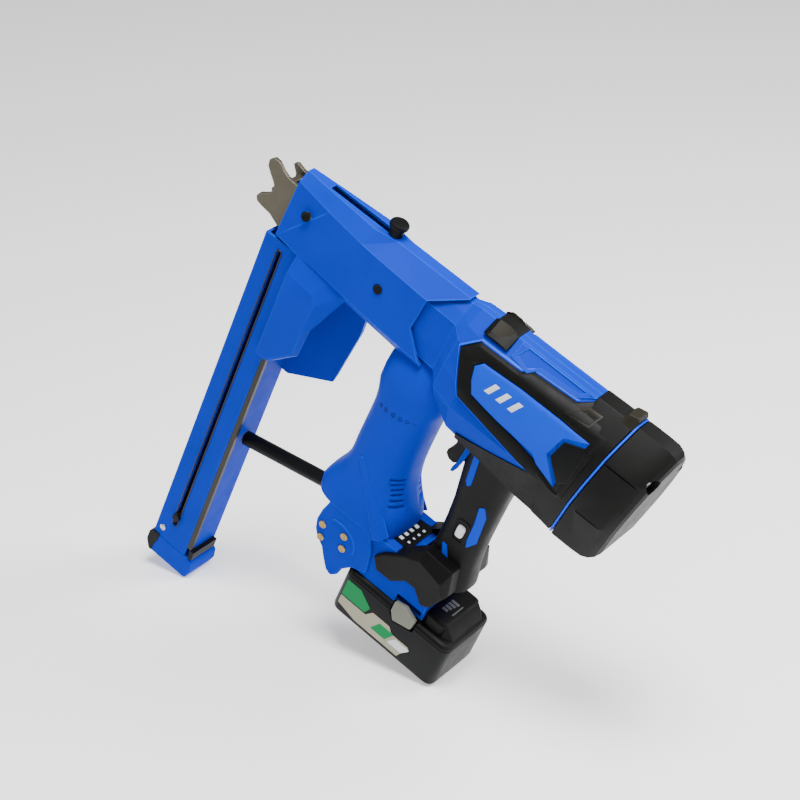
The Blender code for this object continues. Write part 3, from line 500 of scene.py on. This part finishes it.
# Rear band and cap.
SEAM_LEAN, SEAM_PIVOT = 0.13, 98.0      # the seam leans back with height, turning about this height
CAP_BOTTOM, CAP_BOTTOM_HALF = 22.5, 34.0
SEAM_BOTTOM, SEAM_BOTTOM_HALF = 23.5, 33.5
CAP_SCREW_Y, CAP_SCREW_Z = 25.0, 122.0


def leaning(x, lean, grow, low, wide):
    """Barrel section whose top leans back."""
    return [(x + lean * (z - SEAM_PIVOT), y, z) for y, z in section(grow, low, wide)]


band = skin("rear_band_shell", [leaning(*row) for row in (
    (167.0, 0.0, 1.0, 23.0, 30.0), (169.0, 0.0, 1.6, 23.0, 30.0), (186.0, 0.06, 2.0, 23.5, 31.5),
    (201.4, SEAM_LEAN, 2.0, SEAM_BOTTOM, SEAM_BOTTOM_HALF))], BLACK, bevel=0.8)
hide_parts("rear_band")
ridge = skin("top_ridge", [
    [(x0, -13, 146), (x0, 13, 146), (x0 + 0.6, 8, z1), (x0 + 0.6, -8, z1)] for x0, z1 in
    ((194.0, 149.5), (197.0, 155.0), (206.5, 157.0), (208.6, 153.5))], OLIVE_BLACK, bevel=0.8)
gasket = skin("seam_line", [leaning(x, SEAM_LEAN, grow, SEAM_BOTTOM, SEAM_BOTTOM_HALF) for x, grow in (
    (202.0, 1.0), (202.1, 2.1), (203.9, 2.1), (204.0, 1.0))], LINE_BLUE)
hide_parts("seam_gasket")

CAP_ROWS = ((204.6, 0.6), (205.4, 1.8), (208.0, 2.0), (228.0, 2.0), (238.0, 1.5), (243.5, -0.4),
            (247.5, -3.6), (249.6, -8.0))
cap = skin("rear_cap_shell", [leaning(x, SEAM_LEAN, grow, CAP_BOTTOM, CAP_BOTTOM_HALF)
                              for x, grow in CAP_ROWS], BLACK)
GROOVES = ((119.5, 38.0), (67.0, 47.0))     # height of each long groove and the cap's half-width there
GROOVE_HALF, GROOVE_DEPTH = 1.2, 1.6
for sign in (-1, 1):
    for z, y in GROOVES:
        near_y, far_y = sorted((sign * (y - GROOVE_DEPTH), sign * (y + 20)))
        cut(cap, block("groove", (207.5, near_y, z - GROOVE_HALF), (270.0, far_y, z + GROOVE_HALF), None,
                       None, smooth=False))
    cut(cap, turn("screw_pocket", [(0, 7.0), (40, 9.0)], (243.0, sign * CAP_SCREW_Y, CAP_SCREW_Z), (1, 0, 0),
                  None, None, sides=32, smooth=False))
soften(cap, 2.2, 3, 20)
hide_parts("rear_cap")
for side, sign in SIDES:
    screw = turn(f"cap_screw_head_{side}", [(0, 2.5), (6.0, 2.5), (6.0, 5.2), (9.4, 5.2), (10.0, 4.4),
                                            (10.0, 2.4), (8.2, 1.6)],
                 (236.5, sign * CAP_SCREW_Y, CAP_SCREW_Z), (1, 0, 0), STEEL, sides=28)
    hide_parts(f"cap_screw_{side}")

# Top bumper: a wedge with a dark faceted recess on each shoulder.
bumper = skin("bumper_shell", [
    [(x, y, z + (rise if z > 138.5 else 0.0)) for y, z in
     ((-22.5, 138.4), (-23.5, 139.4), (-9.4, 148.4), (9.4, 148.4), (23.5, 139.4), (22.5, 138.4))]
    for x, rise in ((54.5, 0.2), (57.5, 1.3), (69.0, 1.4), (76.0, 0.9), (80.0, 0.1))], BLACK, bevel=0.6)
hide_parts("top_bumper")
for side, sign in SIDES:
    wedge = [[(x, sign * y, z) for y, z in pts] for x, pts in (
        (58.0, [(9.5, 152.4), (20.5, 143.2), (18.0, 140.5), (8.0, 148.0)]),
        (68.5, [(9.0, 152.6), (20.0, 142.6), (18.0, 140.5), (8.0, 148.0)]),
        (77.0, [(8.0, 149.6), (15.5, 143.8), (14.5, 141.0), (7.0, 146.0)]))]
    skin(f"bumper_wedge_{side}", wedge, OLIVE_BLACK, bevel=0.4)
    rim = [[(x, sign * y, z) for y, z in pts] for x, pts in (
        (53.5, [(8.0, 149.6), (22.6, 140.4), (21.5, 138.5), (7.5, 147.5)]),
        (57.5, [(8.8, 151.8), (23.2, 142.6), (22.0, 140.0), (8.0, 149.0)]))]
    skin(f"bumper_rim_{side}", rim, BLACK_HARD, bevel=0.3)

# Front cover: screw wells, and the knob that slides in its slot.
for k, (x, z, y) in enumerate(((-147.0, 118.0, -21.4), (-52.0, 108.0, -26.9)), 1):
    turn(f"cover_well_{k}", [(0, 2.6), (0, 4.4), (1.2, 4.9), (1.2, 3.9), (0.4, 2.6)], (x, y + 0.7, z),
         (0, -1, 0.15), BLACK_HARD, sides=32)
KNOB_X = -69.0
knob = turn("knob", [(-5.0, 3.7), (3.6, 3.7), (3.6, 6.0), (4.4, 6.9), (11.2, 6.6), (12.2, 7.6), (13.0, 9.0),
                     (15.6, 9.2), (17.0, 8.4), (17.5, 6.6), (17.5, 0.0)],
            (KNOB_X, 0, 144.2), (0, 0, 1), BLACK_HARD, body="slot_knob", sides=48)
block("knob_slider", (KNOB_X - 9, -6.5, 138.2), (KNOB_X + 9, 6.5, 143.4), BLACK_HARD, body="slot_knob",
      bevel=0.6)
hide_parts("slot_knob")

# Magazine brackets: outer faces with a facet that runs up under the cover ------------------------------
for side, sign, outer_rim, inner_rim in (
        ("left", -1,
         [(-141, 62), (-108, 60), (-100, 50), (-104, 15), (-105, -17), (-128, -41), (-141, -41)],
         [(-141, 84), (-98, 84), (-75, 81), (-101, 15), (-103, -19), (-126, -44), (-141, -44)]),
        ("right", 1,
         [(-141, 66), (-95, 66), (-75, 58), (-73, 12), (-80, -51), (-126, -79), (-141, -79)],
         [(-141, 84), (-98, 84), (-73, 74), (-71, 12), (-78, -53), (-126, -81), (-141, -81)])):
    bracket = skin(f"bracket_shell_{side}", [
        [(x, sign * y, z) for x, z in round_corners(rim, 3.0, 3)]
        for rim, y in ((inner_rim, 20.4), (outer_rim, 29.0), (offset(outer_rim, -2.0), 30.0))], BLUE,
        bevel=0.8)
    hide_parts(f"magazine_bracket_{side}")

# Nose contact: two forked plates and the bridge between them -------------------------------------------
FORK = [(-176, 82.5), (-187, 88.0), (-198, 89.5), (-204, 91), (-206.5, 95.5), (-204, 100.5), (-197, 105.5),
        (-192.5, 110), (-191.5, 115), (-195, 120), (-201, 126), (-205.5, 131), (-206.5, 137.5),
        (-202, 142.5), (-195.5, 142), (-189, 137), (-182, 134), (-160, 132.8), (-160, 82.5)]
FAR_FORK = [(-176, 82.5), (-187, 88.0), (-198, 89.5), (-204, 91), (-206.5, 95.5), (-204, 100.5),
            (-197, 105.5), (-191, 112), (-187, 119), (-188, 126), (-194, 134), (-190, 136.5), (-182, 134),
            (-160, 132.8), (-160, 82.5)]
near = plate("nose_fork_left", FORK, -13.2, -9.0, NOSE, "nose_contact", corner=2.0, bevel=0.9)
plate("nose_fork_right", FAR_FORK, 9.0, 13.2, NOSE, "nose_contact", corner=1.6, bevel=0.9)
block("nose_bridge_front", (-184.0, -9.2, 118.0), (-178.0, 9.2, 129.0), NOSE, "nose_contact", bevel=0.6)
block("nose_bridge_rear", (-166.0, -9.2, 127.2), (-160.5, 9.2, 132.2), NOSE, "nose_contact", bevel=0.4)
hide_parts("nose_contact")

# Motor column ------------------------------------------------------------------------------------------


def oval(x, y, rx, ry, z, power=0.86, sides=48, front=0.0):
    """Rounded section of the column; front pushes the side towards the magazine out to a ridge."""
    out = []
    for k in range(sides):
        a = 2 * math.pi * k / sides
        c, s = math.cos(a), math.sin(a)
        px = x + rx * math.copysign(abs(c) ** power, c)
        py = y + ry * math.copysign(abs(s) ** power, s)
        if c < 0:
            px -= front * abs(c) ** 3
        out.append((px, py, z))
    return out


# Sections from the neck down: centre x, centre y, half-length, half-width, height, front ridge, squareness.
COLUMN_ROWS = (
    (12, 0, 30.0, 22.5, 72.0, 0), (12, 0, 33.0, 28.0, 64.0, 0), (12, 0, 35.0, 33.0, 52.0, 0),
    (12, 0, 36.0, 34.6, 40.0, 0), (12, 0, 36.0, 34.6, 26.0, 0), (12, 0, 32.5, 34.0, 13.0, 0),
    (12.5, 0, 31.5, 33.6, 0.0, 0), (12, 0, 31.5, 33.4, -30.0, 0), (12, 0, 32.0, 33.4, -52.0, 0),
    (13.0, 0, 32.8, 34.0, -66.0, 0), (14.0, 0, 34.5, 34.8, -76.0, 0.5),
    (15.5, 0, 38.5, 35.6, -88.0, 1.5, 0.8), (16.5, 0, 43.5, 36.4, -100.0, 3.0, 0.68),
    (16.0, 0, 47.0, 36.8, -112.0, 3.0, 0.58), (16.0, 0, 46.5, 36.6, -122.0, 1.0, 0.54))
column = skin("column_shell", [oval(*row[:5], power=(*row, 0.86)[6], front=row[5]) for row in COLUMN_ROWS],
              BLUE)
for sign in (-1, 1):
    for k in range(6):
        x0, z = 34.5 + 2.0 * k, -60.0 - 5.6 * k
        cut(column, block("vent", (x0, min(sign * 12, sign * 44), z - 1.2),
                          (90.0, max(sign * 12, sign * 44), z + 1.2), None, None, smooth=False))
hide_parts("motor_housing_left", "motor_housing_right")
for side, sign in SIDES:
    # Six small round air holes on a band below the neck, drawn as black cups with raised rims; the black
    # floor of each cup is painted shade standing in for the hollow of the hole.
    for k in range(6):
        a = math.radians(112 - 12.0 * k)
        z = 9.0 + 0.7 * k
        place = (12 + 31.9 * math.copysign(abs(math.cos(a)) ** 0.86, math.cos(a)),
                 sign * 33.75 * math.sin(a) ** 0.86, z)
        turn(f"air_hole_{k + 1}_{side}", [(-1.0, 2.1), (0.35, 2.0), (0.35, 1.5), (-0.1, 1.3), (-0.1, 0.0)],
             place, (math.cos(a), sign * math.sin(a), 0), BLACK_HARD, sides=20)
    # Broad ridge that runs down from the waist to the base's edge.
    ridge_rows = []
    for k in range(8):
        t = k / 7
        x, z, y, half = 2.0 + 50.0 * t, -54.0 - 68.0 * t, 33.4 + 3.2 * t, 5.0 + 6.0 * t
        ridge_rows.append([(x + 0.75 * u * half, sign * (y + lift), z + 0.66 * u * half)
                           for u, lift in ((-1.5, -5.5), (-0.45, 0.9), (0.3, 1.3), (1.1, -5.5))])
    skin(f"column_ridge_{side}", ridge_rows, BLUE, bevel=1.6, angle=18)

# Base: side plates with the rivet boss, foot pad that flows into the grip ------------------------------
BOSS = [(-6, -110), (-8, -124), (-11.5, -137), (-13, -150), (-10.5, -161), (-5, -169), (3, -175), (9, -185),
        (16, -195), (23, -198.5), (29, -192), (31.5, -182), (40, -171.8), (56, -165), (52, -140), (44, -122),
        (20, -108)]
RIVETS = ((-4.5, -151.0), (-1.5, -165.5), (20.5, -145.5), (23.5, -159.5))
for side, sign in SIDES:
    y0, y1 = sign * 32.0, sign * 36.0
    boss = plate(f"boss_{side}", BOSS, y0, y1, BLUE, corner=4.0, taper=0.0, bevel=1.6, angle=40)
    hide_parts(f"brace_plate_{side}")
    ring = [(12 + 25.5 * math.cos(a), -155 + 21 * math.sin(a)) for a in
            (math.radians(d) for d in range(-10, 118, 8))]
    ridge_pts = ring + [(12 + 22.5 * math.cos(a), -155 + 18 * math.sin(a)) for a in
                        (math.radians(d) for d in range(114, -14, -8))]
    plate(f"boss_ridge_{side}", ridge_pts, sign * 35.6, sign * 37.0, BLUE, taper=0.8, bevel=0.4)
    for k, (x, z) in enumerate(RIVETS, 1):
        head = turn(f"rivet_head_{k}_{side}", [(0, 4.1), (0.8, 4.0), (1.3, 3.5), (1.3, 2.7), (0.7, 2.2),
                                               (0.6, 1.3), (0.9, 1.0), (0.9, 0.2)], (x, sign * 35.9, z),
                                               (0, sign, 0), BRASS, sides=32)
        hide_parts(f"brace_rivet_{k}")
    pad = [(56, -139), (63, -129), (84, -112), (100, -104), (128, -111), (136, -124), (127, -146),
           (118, -150), (106, -137.5), (95, -138), (82, -150.5), (64, -151)]
    inner = [(56, -139), (63, -129), (84, -110), (98, -96), (131, -98), (137, -124), (127, -146),
             (118, -150), (106, -137.5), (95, -138), (82, -150.5), (64, -151)]
    pad_piece = skin(f"pad_shell_{side}", [[(x, sign * y, z) for x, z in rim] for rim, y in (
        (inner, 18.0), (inner, 31.0), (pad, 37.0), (offset(pad, -1.6), 38.4))], BLACK, bevel=0.7)
    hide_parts(f"base_pad_{side}")

# Display on the base: bezel, window and pale marks -----------------------------------------------------
bezel_rim = round_corners([(58.0, -21.5), (79.0, -21.5), (79.0, 21.5), (58.0, 21.5)], 5.0, 5)
bezel = plate("display_bezel", bezel_rim, 0, 1, BLACK_HARD)
for v in bezel.data.vertices:
    p = TOOL.inverted() @ v.co
    v.co = TOOL @ Vector((p.x, p.z, -120.2 + 1.6 * p.y + 0.10 * (p.x - 66)))
bezel.data.flip_normals()
soften(bezel, 0.5)
for k, (x, y, w, h) in enumerate(((65.0, -15.0, 4.6, 4.0), (65.0, -7.0, 4.0, 4.2), (65.0, 1.2, 4.0, 4.0),
                                  (65.0, 9.6, 4.4, 4.4), (73.5, -14.5, 2.6, 2.6), (73.5, -6.5, 2.6, 2.0),
                                  (73.5, 1.6, 2.6, 2.6), (73.5, 10.0, 2.6, 3.2))):
    block(f"display_mark_{k}", (x - w / 2, y - h / 2, -119.4),
          (x + w / 2, y + h / 2, -118.35 + 0.10 * (x - 66)), ICON, bevel=0.15)
for side, sign in SIDES:
    skin(f"display_rail_{side}", [
        [(x, sign * 33.2, z - 6), (x, sign * 33.2, z - 2.0), (x, sign * 24, z), (x, sign * 24, z - 6)]
        for x, z in ((50, -121.5), (60, -120.0), (78, -119.0), (84, -115.0), (88, -110.6))], BLUE, bevel=1.2)

# Grip: overmoulded shell with inlays, and its flare under the barrel -----------------------------------
# Sections from the barrel down: height, centre, half-length and half-width.
GRIP_ROWS = (
    (50, 118, 44, 24), (36, 114, 34, 20.5), (22, 113, 30, 19.2), (0, 111, 27.2, 18.8),
    (-20, 112, 25, 18.8), (-40, 113.5, 23.4, 18.6), (-64, 114.4, 22.6, 18.2), (-86, 115, 22.6, 18.2),
    (-104, 115.6, 24.0, 19.4), (-116, 116, 26.0, 22.0), (-126, 116, 27.0, 25.0))
GRIP_POWER = 0.74      # how square the grip's sections are: 1 is an ellipse
INLAY_PROUD = 0.55


def grip_y(x, z):
    """Half-width of the grip at a place on its side."""
    for (z0, *upper), (z1, *lower) in zip(GRIP_ROWS, GRIP_ROWS[1:]):
        if z1 <= z <= z0:
            t = (z0 - z) / (z0 - z1)
            centre, rx, ry = (upper[j] + (lower[j] - upper[j]) * t for j in range(3))
            break
    reach = min(0.98, abs(x - centre) / rx) ** (1 / GRIP_POWER)
    return ry * math.sqrt(max(0.0, 1 - reach * reach)) ** GRIP_POWER


grip = skin("grip_shell", [oval(x, 0, rx, ry, z, GRIP_POWER) for z, x, rx, ry in GRIP_ROWS], BLACK)
cut(grip, block("trigger_well", (60, -8.6, -17), (92, 8.6, 60), None, None, smooth=False))
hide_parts("handle_left", "handle_right")
INLAYS = (
    [(93.5, 23), (100.5, 24), (104.5, -10), (101.0, -14.5), (97.5, -10)],
    [(121.0, -25), (126.0, -22), (130.5, -33), (132.5, -66), (126.0, -75.5), (124.0, -66), (123.5, -45)],
    [(103.5, -86), (109.0, -86), (116, -98), (122.0, -110), (118.5, -111), (109.5, -100)])
for side, sign in SIDES:
    for k, rim in enumerate(INLAYS, 1):
        bm = bmesh.new()
        pts = round_corners(rim, 1.4, 3)
        low = [bm.verts.new((x, 0, z)) for x, z in pts]
        top = [bm.verts.new((x, 1, z)) for x, z in pts]
        n = len(pts)
        bm.faces.new(low[::-1])
        bm.faces.new(top)
        for j in range(n):
            bm.faces.new((low[j], low[(j + 1) % n], top[(j + 1) % n], top[j]))
        for place, way in [((x, 0, 0), (1, 0, 0)) for x in range(92, 134, 2)] + [
                ((0, 0, z), (0, 0, 1)) for z in range(-110, 24, 6)]:
            bmesh.ops.bisect_plane(bm, geom=bm.verts[:] + bm.edges[:] + bm.faces[:], dist=0.0001,
                                   plane_co=place, plane_no=way)
        for v in bm.verts:
            proud = INLAY_PROUD if v.co.y > 0.5 else -1.5
            v.co.y = sign * (grip_y(v.co.x, v.co.z) + proud)
        make(f"grip_inlay_{k}_{side}", bm, BLUE_PANEL, bevel=0.25)

# Mode switch: white slide in a raised rim on the grip's left side.
rim_out, rim_in = (
    round_corners([(115 - w, -62 - h), (115 + w, -62 - h), (115 + w, -62 + h), (115 - w, -62 + h)],
                  w * 0.9, 6)
    for w, h in ((8.4, 14.0), (6.0, 11.6)))
bm = bmesh.new()
walls = [[bm.verts.new((x, y, z)) for x, z in ring] for ring, y in (
    (rim_out, -16.0), (rim_out, -18.5), (offset(rim_out, -0.8), -19.2), (offset(rim_in, 0.5), -19.2),
    (rim_in, -18.2), (rim_in, -16.0))]
for a, b in zip(walls, walls[1:] + walls[:1]):
    for k in range(len(a)):
        bm.faces.new((a[k], a[(k + 1) % len(a)], b[(k + 1) % len(a)], b[k]))
make("switch_rim", bm, BLACK_HARD, bevel=0.3)
slide = plate("mode_switch_slide", [(110.4, -69.5), (119.6, -69.5), (119.6, -54.5), (110.4, -54.5)], -16.0,
              -20.4, WHITE, "mode_switch", corner=4.0, taper=0.8, bevel=0.6)
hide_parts("mode_switch")

guard = [(82, 34), (90, 30), (87.5, 14), (84.8, 0), (82.5, -12), (80.5, -17), (77.5, -17.5), (78, -12),
         (80.8, -2), (82, 12)]
for side, sign in SIDES:
    plate(f"trigger_guard_{side}", guard, sign * 8.8, sign * 12.5, BLUE, corner=1.5, bevel=0.6)
trigger_shape = [(88, 31), (89.5, 19), (84, 10), (80.5, -2), (79.5, -9), (75, -12.5), (69.5, -11.5),
                 (65.2, -7.5), (65.2, -3), (68.8, 2.5), (70.2, 9), (69.0, 17), (64.5, 24), (62, 32)]
trigger = plate("trigger_shell", trigger_shape, -7.8, 7.8, BLACK_HARD, "trigger", corner=3.0, bevel=1.6)
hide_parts("trigger")

# Battery: rounded case and lid, label shapes, gauge bars, latch recess ---------------------------------


def slab(name, x0, x1, half, z0, z1, corner, mat, body="battery", top_in=0.0, **kw):
    rim = round_corners([(x0, -half), (x1, -half), (x1, half), (x0, half)], corner, 6)
    inner = offset(rim, -top_in)
    return skin(name, [[(x, y, z0) for x, y in rim], [(x, y, z1 - top_in) for x, y in rim],
                       [(x, y, z1) for x, y in inner]], mat, body, **kw)


case_rim = round_corners([(36.4, -37.3), (163.8, -37.3), (163.8, 37.3), (36.4, 37.3)], 11.0, 6)
case = skin("battery_case_shell", [[(x, y, z) for x, y in offset(case_rim, g)] for g, z in (
    (-3.2, -228.0), (-0.8, -226.4), (0.0, -223.0), (0.0, -179.6), (-0.4, -178.9))], BLACK_HARD, "battery",
    bevel=0.5)
lid = skin("battery_lid_shell", [[(x, y, z) for x, y in offset(case_rim, g)] for g, z in (
    (-0.4, -178.6), (0.0, -177.9), (0.0, -176.6), (-1.6, -173.6), (-4.5, -172.3))], BLACK, "battery",
    bevel=0.4)
for side, sign in SIDES:
    latch_rim = [(93.5, -163.5), (108, -160), (124, -168.5), (123.5, -184), (101, -189.5), (93.5, -181)]
    for obj in (case, lid):
        cut(obj, plate("latch_recess", latch_rim, sign * 30.0, sign * 60.0, None, None, smooth=False))
    latch = plate(f"latch_shell_{side}", [(95.5, -165.5), (108, -162.5), (122, -170), (121, -182),
                                          (101, -187), (95.5, -178)],
                  sign * 34.1, sign * 39.2, LATCH, f"latch_{side}", corner=2.0, bevel=0.9)
    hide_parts(f"battery_latch_{side}")
    for tag, rim, lift, mat in (
            ("green", [(43, -184.5), (60, -184.5), (76, -196.0), (72, -204.5), (43, -204.5)], 0.25,
             LABEL_GREEN),
            ("stripe", [(43, -206.0), (74, -206.0), (80, -197.5), (101, -197.5), (106, -203.5),
                        (128, -203.5), (120, -222.0), (66, -222.0), (43, -216.0)], 0.25, LABEL_BEIGE),
            ("wedge", [(91, -202.5), (109, -202.5), (102, -215.0), (84, -215.0)], 0.5, LABEL_GREEN),
            ("wedge_pale", [(112, -205.5), (130, -205.5), (123, -215.0), (105, -215.0)], 0.5, ICON)):
        plate(f"label_{tag}_{side}", rim, sign * 37.0, sign * (37.3 + lift), mat, "battery", corner=1.2,
              bevel=0.08)
slab("battery_hump", 124.6, 149.0, 30.0, -181.0, -158.2, 6.0, BLACK, top_in=2.0, bevel=0.6)
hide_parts("battery_case")
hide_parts("battery_lid")
HUMP_RAMP = ((148.0, 30.0, -159.5), (153.0, 29.0, -163.5), (159.5, 27.0, -171.8))
skin("hump_ramp", [
    [(x0, -h, -174.0), (x0, h, -174.0), (x0, h - 3, z1), (x0, -h + 3, z1)] for x0, h, z1 in HUMP_RAMP],
    BLACK, "battery", bevel=0.8)
for k in range(4):
    y = -13.0 + 5.0 * k
    block(f"gauge_bar_{k + 1}", (131.0, y, -159.0), (137.0 + 1.0 * k, y + 3.4, -157.85), GAUGE, "battery",
          bevel=0.15)
block("gauge_line", (142.6, -12.0, -159.0), (144.0, 6.0, -157.9), GAUGE, "battery", bevel=0.1)

# Magazine foot: rounded shoe with a dark insert at its front corner.
shoe_rim = [(-184.0, -345.5), (-177.0, -355.9), (-128.0, -355.9), (-124.6, -345.0), (-126.0, -334.5),
            (-133.5, -330.3), (-180.5, -330.3), (-183.6, -334.0)]
foot = plate("foot_shoe", shoe_rim, -20.9, 20.9, BLUE, corner=4.0, bevel=2.0, angle=40)
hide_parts("magazine_foot")
insert_rim = [(-184.4, -345.0), (-178.6, -355.6), (-174.6, -355.4), (-174.2, -347), (-171.0, -336.0),
              (-171.4, -329.0), (-180.6, -329.0), (-184.4, -334)]
insert = plate("foot_insert", insert_rim, -21.6, -12.5, BLACK_HARD, corner=2.5, bevel=1.2, angle=40)
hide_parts("foot_corner")

# Magazine: screw, pusher stud and slot edge ------------------------------------------------------------
turn("magazine_screw", [(0, 3.6), (1.0, 3.4), (1.5, 2.2), (1.0, 1.2)], (-171.5, -19.9, -318.0), (0, -1, 0),
     STEEL, sides=28)
turn("pusher_stud", [(0, 4.2), (1.4, 4.1), (2.2, 3.0), (2.3, 0.5)], (-160, -21.0, -292.0), (0, -1, 0), STEEL,
     body="pusher", sides=32)
slot_rim = round_corners([(-163.2, 67), (-156.8, 67), (-156.8, -305), (-163.2, -305)], 3.0, 5)
wire("magazine_slot_lip", [(x, -20.15, z) for x, z in slot_rim], 0.7, RAIL)

# Studio ------------------------------------------------------------------------------------------------

floor = bpy.data.objects.new("floor", bpy.data.meshes.new("floor"))
bm = bmesh.new()
bmesh.ops.create_grid(bm, x_segments=1, y_segments=1, size=8.0)
bm.to_mesh(floor.data)
bm.free()
bpy.context.scene.collection.objects.link(floor)
pale = bpy.data.materials.new("floor")
pale.use_nodes = True
pale.node_tree.nodes["Principled BSDF"].inputs["Base Color"].default_value = (0.97, 0.97, 0.97, 1)
pale.node_tree.nodes["Principled BSDF"].inputs["Roughness"].default_value = 0.8
pale.node_tree.nodes["Principled BSDF"].inputs["Emission Color"].default_value = (1.0, 1.0, 1.0, 1)
pale.node_tree.nodes["Principled BSDF"].inputs["Emission Strength"].default_value = 0.45
floor.data.materials.append(pale)

world = bpy.data.worlds.new("studio")
bpy.context.scene.world = world
world.use_nodes = True
world.node_tree.nodes["Background"].inputs["Color"].default_value = (1.0, 1.0, 1.0, 1)
world.node_tree.nodes["Background"].inputs["Strength"].default_value = 0.34


def lamp(name, place, aim, size, power):
    data = bpy.data.lights.new(name, "AREA")
    data.shape, data.size, data.energy = "SQUARE", size, power
    obj = bpy.data.objects.new(name, data)
    obj.location = place
    obj.rotation_euler = (Vector(aim) - Vector(place)).to_track_quat("-Z", "Y").to_euler()
    bpy.context.scene.collection.objects.link(obj)
    return obj


lamp("key", (0.45, -0.30, 2.1), (0.0, 0.0, 0.25), 0.8, 72)
lamp("top", (1.2, 0.9, 1.6), (0.0, 0.0, 0.3), 0.9, 42)
lamp("front_fill", (-1.5, -1.2, 0.9), (0.0, 0.0, 0.25), 1.2, 8)

# The camera looks at the tool's origin from the front left and above.
VIEW_AZIMUTH, VIEW_ELEVATION, VIEW_ROLL = math.radians(35.780), math.radians(27.355), math.radians(-0.278)
VIEW_DISTANCE, VIEW_LENS = 2.0, 98.46

away = Vector((math.sin(VIEW_AZIMUTH) * math.cos(VIEW_ELEVATION),
               -math.cos(VIEW_AZIMUTH) * math.cos(VIEW_ELEVATION), math.sin(VIEW_ELEVATION)))
level = Vector((math.cos(VIEW_AZIMUTH), math.sin(VIEW_AZIMUTH), 0.0))
across = level * math.cos(VIEW_ROLL) + away.cross(level) * math.sin(VIEW_ROLL)
camera = bpy.data.objects.new("camera", bpy.data.cameras.new("camera"))
camera.data.lens = VIEW_LENS
turned = Matrix((across, away.cross(across), away)).transposed().to_4x4()
camera.matrix_world = Matrix.Translation(Vector(ORIGIN) + away * VIEW_DISTANCE) @ turned
bpy.context.scene.collection.objects.link(camera)
bpy.context.scene.camera = camera
